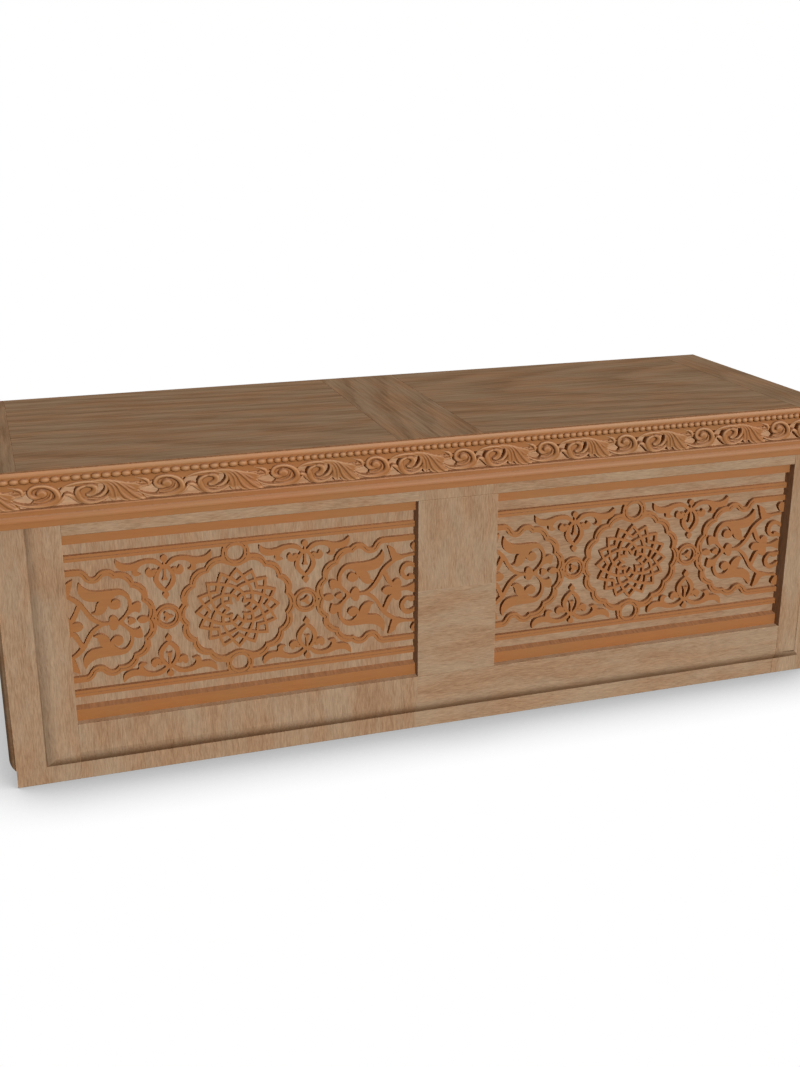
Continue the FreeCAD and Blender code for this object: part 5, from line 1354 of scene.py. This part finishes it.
# Flat band over the scroll: how far it stands out and where it begins.
BAND_FACE, BAND_FOOT = 7.0, 424.4
# Middles of the volutes from the left end of the cornice; the first stands for one past that end.
VOLUTES = (-96.0, 64.0, 224.0, 381.0, 512.5, 642.0, 771.0, 897.5, 1027.0, 1159.0, 1291.0)
# Height at which the side of a stroke begins, how steeply its rounded top falls away, its least half width,
# and the share of its height that a thin stroke keeps, with the half width over which the rest comes.
STROKE_FOOT, STROKE_ROUND, THINNEST = 1.6, 2.8, 0.05
THIN_SHARE, THIN_SPAN = 0.45, 4.0


def soft_line(points, pieces=6):
    """Smooth line through points with any number of values each."""
    array = np.asarray(points, dtype=float)
    padded = np.vstack([2 * array[0] - array[1], array, 2 * array[-1] - array[-2]])
    result = []
    for index in range(len(array) - 1):
        p0, p1, p2, p3 = padded[index:index + 4]
        for k in range(pieces):
            t = k / pieces
            result.append(0.5 * (2 * p1 + (p2 - p0) * t + (2 * p0 - 5 * p1 + 4 * p2 - p3) * t * t
                                 + (3 * p1 - p0 - 3 * p2 + p3) * t ** 3))
    result.append(array[-1])
    return np.array(result)


def raise_stroke(height, xs, zs, line, top):
    """Lift a rounded stroke of changing width out of the ground."""
    for first, last in zip(line[:-1], line[1:]):
        reach = max(first[2], last[2]) / 2 + 0.1
        rows, columns = span(zs, (first[1], last[1]), reach), span(xs, (first[0], last[0]), reach)
        if rows.start == rows.stop or columns.start == columns.stop:
            continue
        gap, part = gap_to(first, last, *np.meshgrid(xs[columns], zs[rows]))
        half = np.maximum((first[2] + (last[2] - first[2]) * part) / 2, THINNEST)
        share = 1 - np.minimum(gap / half, 1.0) ** STROKE_ROUND
        full = np.minimum(1.0, THIN_SHARE + half / THIN_SPAN)
        lift = np.where(gap < half, STROKE_FOOT + (top * full - STROKE_FOOT) * np.sqrt(share), 0.0)
        height[rows, columns] = np.maximum(height[rows, columns], lift)


def raise_body(height, xs, zs, outline, top):
    """Lift the inside of a closed outline to one height."""
    rows, columns = span(zs, outline[:, 1]), span(xs, outline[:, 0])
    if rows.start == rows.stop or columns.start == columns.stop:
        return
    inside = inside_of(outline, *np.meshgrid(xs[columns], zs[rows]))
    height[rows, columns] = np.maximum(height[rows, columns], np.where(inside, top, 0.0))


def scroll_height(xs, zs):
    """Height of the scroll over its ground at places in millimetres from the left end and the floor."""
    height = np.zeros((len(zs), len(xs)))
    for before, volute in zip(VOLUTES[:-1], VOLUTES[1:]):
        scale = (volute - before) / SCROLL_LENGTH

        def laid(points):
            """Points of the table at their places on the cornice, with their widths if they have any."""
            return [(volute + (point[0] / 10 - SCROLL_VOLUTE) * scale, SCROLL_TOP - point[1] / 10)
                    + tuple(width / 10 for width in point[2:]) for point in points]

        for points, top in BODIES:
            raise_body(height, xs, zs, soft_line(laid(points + points[:1]), 3), top)
        for points, top in SCROLL:
            raise_stroke(height, xs, zs, soft_line(laid(points)), top)
    height = np.where(height > 0, height + SCROLL_FOOT, 0.0)
    over = (height > 0) & (zs > BAND_FOOT)[:, None]
    return np.where(over, np.maximum(height, BAND_FACE), height)


def softened(grid, reach):
    """Mean of a height grid over a square window."""
    for axis in (0, 1):
        before, after = (np.take(grid, [end] * reach, axis) for end in (0, -1))
        padded = np.concatenate([before, grid, after], axis)
        run = np.cumsum(padded, axis)
        window = 2 * reach + 1
        first = np.take(run, [window - 1], axis)
        rest = (np.take(run, range(window, padded.shape[axis]), axis)
                - np.take(run, range(0, padded.shape[axis] - window), axis))
        grid = np.concatenate([first, rest], axis) / window
    return grid


# Painted shade in a cut and a painted highlight on a crest, against the wood around them: window in steps of
# the grid, depth of a full cut, height where the highlight begins, height over which it grows, and its most.
CUT_WINDOW, CUT_DEPTH = 2, 0.9
CREST_WINDOW, CREST_FROM, CREST_SPAN, CREST_MOST = 6, 0.4, 2.2, 0.8


def relief_mesh(name, xs, zs, height, left, front, ground):
    """Skin over the raised places of a height grid; the ground itself stays open."""
    wood = height > 0
    keep = wood.copy()
    keep[1:, :] |= wood[:-1, :]
    keep[:-1, :] |= wood[1:, :]
    grown = keep.copy()
    keep[:, 1:] |= grown[:, :-1]
    keep[:, :-1] |= grown[:, 1:]
    cells = keep[:-1, :-1] & keep[:-1, 1:] & keep[1:, 1:] & keep[1:, :-1]
    cells &= wood[:-1, :-1] | wood[:-1, 1:] | wood[1:, 1:] | wood[1:, :-1]
    rows, columns = np.nonzero(cells)
    width = len(xs)
    corner = rows * width + columns
    quads = np.stack([corner, corner + 1, corner + width + 1, corner + width], axis=1)
    used, quads = np.unique(quads, return_inverse=True)
    i, j = np.divmod(used, width)
    lift = height[i, j]
    depth = np.where(lift > 0, front - lift, ground)
    places = np.stack([(left + xs[j]) * MM, depth * MM, zs[i] * MM], axis=1)
    mesh = smooth_mesh(name, places.tolist(), quads.reshape(-1, 4).tolist())
    # Painted shade where cuts lie lower than the wood around them and at the foot of the carving, as dark as
    # the cuts; painted highlight on the crests.
    sunk = np.clip((softened(height, CUT_WINDOW) - height) / CUT_DEPTH, 0.0, 1.0)
    worn = np.clip((height - softened(height, CREST_WINDOW) - CREST_FROM) / CREST_SPAN, 0.0, CREST_MOST)
    set_shade_and_highlight(mesh, np.where(lift > 0, (sunk - worn)[i, j], 1.0))
    mesh.update()
    return mesh


# Grid of the scroll: its step and its lowest and highest place; the volutes count from so far left of the
# chest's middle.
SCROLL_STEP, SCROLL_SPAN, VOLUTE_ZERO = 0.55, (398.4, 434.0), 630.0


class CHEST_OT_frieze(bpy.types.Operator):
    """Carve the running scroll between the mouldings of the cornice"""
    bl_idname = "chest.frieze"
    bl_label = "Running scroll"

    def execute(self, context):
        ground = corners("cornice_frieze")[1][1]
        rim_low, rim_high = corners("cornice_upper_moulding")
        left = rim_low[0]
        length = rim_high[0] - left
        zs = np.arange(*SCROLL_SPAN, SCROLL_STEP)
        labels = ("left", "middle", "right")
        for index, label in enumerate(labels):
            first, last = length * index / len(labels), length * (index + 1) / len(labels)
            xs = np.linspace(first, last, int(round((last - first) / SCROLL_STEP)) + 1)
            height = scroll_height(xs - (VOLUTE_ZERO + left), zs)
            mesh = relief_mesh("frieze", xs, zs, height, left, ground, ground + SUNK_IN)
            mesh.materials.append(MATERIALS["carving_wood"])
            finished("frieze_carving_" + label, mesh, "cornice_frieze", "carving_wood", "cornice_frieze")
        return {"FINISHED"}


# Mouldings and beads of the cornice

SMOOTH_MOULDING = math.radians(28)
# Painted highlight on the moulding within this distance of the roof.
CREST_DROP, CREST_HIGHLIGHT = 5.8, -0.42
# Beads: thickness and height in metres, distance of their middle from the front and the roof in millimetres,
# share of the length where the stretched ones end, how much longer those are, and the bare end at the left.
BEAD_SECTION = (0.0078, 0.0087)
BEAD_INSET, BEAD_DROP = 9.2, 12.8
BEAD_CHANGE, BEAD_STRETCH, BEAD_BARE_END = 0.2857, 1.26, 0.007


def arc_line(middle, radius, first, last, count=10):
    """Places on an arc, out and up, between two angles from straight out."""
    angles = np.radians(np.linspace(first, last, count))
    return [(middle[0] + radius * math.cos(a), middle[1] + radius * math.sin(a)) for a in angles]


def moulding_mesh(name, outline, x_low, x_high, front, crest):
    """Length of moulding from its closed outline, out of the front and up, in millimetres.
    Its places higher than the crest carry a painted highlight."""
    work = bmesh.new()
    one, two = ([work.verts.new((x * MM, (front - out) * MM, z * MM)) for out, z in outline]
                for x in (x_low, x_high))
    count = len(outline)
    for index in range(count):
        after = (index + 1) % count
        work.faces.new((one[index], one[after], two[after], two[index]))
    work.faces.new(one)
    work.faces.new(two)
    bmesh.ops.triangulate(work, faces=[face for face in work.faces if len(face.verts) > 4])
    bmesh.ops.recalc_face_normals(work, faces=work.faces)
    for edge in work.edges:
        edge.smooth = edge.calc_face_angle(0.0) < SMOOTH_MOULDING
    for face in work.faces:
        face.smooth = True
    mesh = bpy.data.meshes.new(name)
    work.to_mesh(mesh)
    work.free()
    mesh.materials.append(MATERIALS["carving_wood"])
    heights = row_values(mesh.vertices, "co", 3)[:, 2]
    set_shade_and_highlight(mesh, np.where(heights > crest * MM, CREST_HIGHLIGHT, 0.0))
    return mesh


def bead_row_tree():
    """Row of egg-shaped beads along X, given by its first place, its step and its count."""
    tree = bpy.data.node_groups.new("bead_row", "GeometryNodeTree")
    tree.interface.new_socket("Geometry", in_out="INPUT", socket_type="NodeSocketGeometry")
    for label, kind in (("First", "Vector"), ("Step", "Float"), ("Count", "Int"), ("Size", "Vector"),
                        ("Material", "Material")):
        tree.interface.new_socket(label, in_out="INPUT", socket_type="NodeSocket" + kind)
    tree.interface.new_socket("Geometry", in_out="OUTPUT", socket_type="NodeSocketGeometry")
    w = Wires(tree)
    given = w.node("NodeGroupInput").outputs
    row = w.fill(w.node("GeometryNodeMeshLine"), {
        "Count": given["Count"], "Start Location": given["First"], "Offset": w.join(given["Step"], 0.0, 0.0)})
    egg = w.fill(w.node("GeometryNodeMeshUVSphere"), {"Segments": 14, "Rings": 8, "Radius": 0.5})
    turned = w.fill(w.node("GeometryNodeTransform"), {
        "Rotation": (0.0, math.pi / 2, 0.0), "Geometry": egg.outputs["Mesh"]})
    smooth = w.fill(w.node("GeometryNodeSetShadeSmooth"), {"Geometry": turned.outputs[0]})
    # Painted shade on the turn of each bead towards the wood behind it, and a painted highlight on its front.
    spot = w.split(w.node("GeometryNodeInputPosition").outputs[0])
    lean = w.math("MULTIPLY_ADD", spot["Z"], -0.32, spot["Y"])
    painted_shade = w.fill(w.node("GeometryNodeStoreNamedAttribute"), {
        "Name": "shade_and_highlight", "Geometry": smooth.outputs[0],
        "Value": w.ramp(lean, -0.5, 0.06, -0.6, 0.9, smooth=False)})
    beads = w.fill(w.node("GeometryNodeInstanceOnPoints"), {
        "Points": row.outputs["Mesh"], "Instance": painted_shade.outputs[0], "Scale": given["Size"]})
    real = w.fill(w.node("GeometryNodeRealizeInstances"), {0: beads.outputs["Instances"]})
    wood = w.fill(w.node("GeometryNodeSetMaterial"), {
        "Geometry": real.outputs[0], "Material": given["Material"]})
    w.fill(w.node("NodeGroupOutput"), {0: wood.outputs[0]})
    return tree


def bead_row(name, tree, first, step, count, size):
    """Mesh of one row of beads."""
    holder = added(name + "_row", bpy.data.meshes.new(name + "_seat"))
    modifier = holder.modifiers.new("beads", "NODES")
    modifier.node_group = tree
    sockets = {item.name: item.identifier for item in tree.interface.items_tree if item.in_out == "INPUT"}
    for label, value in (("First", first), ("Step", step), ("Count", count), ("Size", size),
                         ("Material", MATERIALS["carving_wood"])):
        modifier[sockets[label]] = value
    holder.update_tag()
    bpy.context.view_layer.update()
    mesh = bpy.data.meshes.new_from_object(holder.evaluated_get(bpy.context.evaluated_depsgraph_get()))
    mesh.name = name
    bpy.data.objects.remove(holder)
    return mesh


class CHEST_OT_cornice(bpy.types.Operator):
    """Run the mouldings of the cornice and set its row of beads"""
    bl_idname = "chest.cornice"
    bl_label = "Cornice"

    def execute(self, context):
        sizes = context.scene.chest_sizes
        low, high = corners("cornice_upper_moulding")
        left, right = low[0], high[0]
        front = high[1]
        seam = corners("cornice_lower_moulding")[0][2]
        roof = high[2]
        foot = [(0.0, seam), (10.6, seam), (10.8, seam + 0.3), (10.8, seam + 8.0), (12.7, seam + 8.1)]
        foot += arc_line((3.0, seam + 8.6), 10.0, -1, 50)
        foot += [(8.9, seam + 16.6), (8.9, seam + 21.6), (10.6, seam + 21.8), (10.95, seam + 22.2),
                 (10.6, seam + 23.3), (10.0, seam + 24.0), (0.0, seam + 24.0)]
        head = [(0.0, roof - 25.5), (6.5, roof - 25.5), (6.7, roof - 25.2), (6.7, roof - 18.4)]
        head += arc_line((8.2, roof - 17.9), 1.4, 180, 90, 4)
        head += [(8.8, roof - 16.3), (9.0, roof - 6.0), (12.7, roof - 5.9)]
        head += arc_line((5.6, roof - 4.6), 7.4, -9, 36)
        head += [(10.6, roof - 0.05)]
        head += [(5.5, roof), (5.5, roof - 20.0), (0.0, roof - 20.0)]
        for node, outline in (("cornice_lower_moulding", foot), ("cornice_upper_moulding", head)):
            mesh = moulding_mesh(node + "_shape", outline, left, right, front, roof - CREST_DROP)
            finished(node + "_wood", mesh, node, "moulding_wood", node)
        tree = bead_row_tree()
        change = BEAD_CHANGE * (right - left)
        joint = (left + change) * MM
        y, z = (front - BEAD_INSET) * MM, (roof - BEAD_DROP) * MM
        pitch, long_pitch = sizes.bead_pitch, sizes.bead_pitch * BEAD_STRETCH
        long_count = int((change * MM - BEAD_BARE_END) / long_pitch) + 1
        long_start = joint - (long_count - 0.5) * long_pitch
        start = joint + pitch * 0.5
        count = int((right * MM - start) / pitch) + 1
        for name, x, step, beads, length in (
                ("cornice_beads_left", long_start, long_pitch, long_count, sizes.bead_length * BEAD_STRETCH),
                ("cornice_beads_right", start, pitch, count, sizes.bead_length)):
            mesh = bead_row(name, tree, (x, y, z), step, beads, (length, *BEAD_SECTION))
            finished(name, mesh, "cornice_upper_moulding", "moulding_wood")
        return {"FINISHED"}


# Stage

# Half the width of the floor and how far it lies under the feet, in metres.
FLOOR_HALF, FLOOR_DROP = 14.0, 0.0006
# Lamps: name, direction that the light comes from, strength and width in degrees.
LAMPS = (("main_light", (0.42, -0.82, 0.42), 3.25, 12.0), ("back_light", (0.10, 0.98, 0.10), 1.9, 30.0))
# Camera: place in metres, turn up from straight down and to the right in degrees, lens and sensor in
# millimetres.
CAMERA_PLACE, CAMERA_TIP, CAMERA_TURN = (-0.6219, -1.8527, 0.900), 71.27, -18.258
LENS_LENGTH, SENSOR_WIDTH = 43.456, 36.0


def seen_share(w):
    """One where the eye meets a thing, straight, in a mirror or through glass."""
    rays = w.node("ShaderNodeLightPath").outputs
    return w.math("MAXIMUM", rays["Is Camera Ray"],
                  w.math("MAXIMUM", rays["Is Glossy Ray"], rays["Is Transmission Ray"]))


def white_floor():
    """Floor that is white to the eye, with a painted shadow near the chest from an occlusion node, and lights
    the chest like a pale one.
    """
    plane = bpy.data.meshes.new("floor_shape")
    plane.from_pydata([(x * FLOOR_HALF, y * FLOOR_HALF, -FLOOR_DROP)
                       for x, y in ((-1, -1), (1, -1), (1, 1), (-1, 1))], [], [(0, 1, 2, 3)])
    w, shader = shaded("floor_white")
    seen = seen_share(w)
    # Painted shadow: the floor's glow is darker where the chest is near.
    near = w.fill(w.node("ShaderNodeAmbientOcclusion", samples=12), {"Distance": 0.13})
    shade = w.ramp(near.outputs["AO"], 0.50, 0.955, 0.46, 1.0, smooth=False)
    w.fill(shader, {
        "Base Color": w.mix(seen, (0.32, 0.315, 0.31, 1.0), (0.0, 0.0, 0.0, 1.0)),
        "Emission Color": w.join(shade, shade, shade), "Emission Strength": seen,
        "Roughness": 1.0, "Specular IOR Level": 0.0})
    plane.materials.append(MATERIALS["floor_white"])
    floor = added("floor", plane)


def pale_world():
    """World that is white to the eye and lights the chest faintly."""
    world = bpy.data.worlds.new("pale_air")
    world.use_nodes = True
    bpy.context.scene.world = world
    w = Wires(world.node_tree)
    w.fill(world.node_tree.nodes["Background"], {
        "Color": (1.0, 1.0, 1.0, 1.0), "Strength": w.ramp(seen_share(w), 0.0, 1.0, 0.18, 1.0, smooth=False)})


class CHEST_OT_stage(bpy.types.Operator):
    """Set up the floor, the light and the camera"""
    bl_idname = "chest.stage"
    bl_label = "Stage"

    def execute(self, context):
        white_floor()
        pale_world()
        for name, toward, strength, angle in LAMPS:
            lamp = bpy.data.lights.new(name, "SUN")
            lamp.energy = strength
            lamp.angle = math.radians(angle)
            lamp.use_shadow = False
            item = added(name, lamp)
            item.rotation_euler = Vector(toward).to_track_quat("Z", "Y").to_euler()
        view = bpy.data.cameras.new("view")
        view.lens = LENS_LENGTH
        view.sensor_width = SENSOR_WIDTH
        camera = added("view", view)
        camera.location = CAMERA_PLACE
        camera.rotation_euler = (math.radians(CAMERA_TIP), 0.0, math.radians(CAMERA_TURN))
        context.scene.camera = camera
        context.scene.view_settings.view_transform = "Standard"
        return {"FINISHED"}


class CHEST_PT_panel(bpy.types.Panel):
    """Buttons of the chest in the sidebar"""
    bl_label = "Carved chest"
    bl_idname = "CHEST_PT_panel"
    bl_space_type = "VIEW_3D"
    bl_region_type = "UI"
    bl_category = "Chest"

    def draw(self, context):
        for step in STEPS:
            self.layout.operator(step.bl_idname)
        for group in (context.scene.chest_sizes, context.scene.chest_colours):
            for label in group.bl_rna.properties.keys():
                if label not in ("rna_type", "name"):
                    self.layout.prop(group, label)


STEPS = (CHEST_OT_front_frame, CHEST_OT_sides_and_back, CHEST_OT_top_boards, CHEST_OT_frets, CHEST_OT_frieze,
         CHEST_OT_cornice, CHEST_OT_inside, CHEST_OT_stage)
CLASSES = (ChestSizes, ChestColours) + STEPS + (CHEST_PT_panel,)


def register():
    """Add the classes and the two groups of settings."""
    for item in CLASSES:
        bpy.utils.register_class(item)
    bpy.types.Scene.chest_sizes = bpy.props.PointerProperty(type=ChestSizes)
    bpy.types.Scene.chest_colours = bpy.props.PointerProperty(type=ChestColours)


def unregister():
    """Take them away again."""
    del bpy.types.Scene.chest_colours
    del bpy.types.Scene.chest_sizes
    for item in reversed(CLASSES):
        bpy.utils.unregister_class(item)


def main():
    """Build the chest step by step."""
    register()
    build_materials()
    for step in STEPS:
        area, action = step.bl_idname.split(".")
        if getattr(getattr(bpy.ops, area), action)() != {"FINISHED"}:
            raise RuntimeError(step.bl_label + " was not finished")


if __name__ == "__main__":
    main()
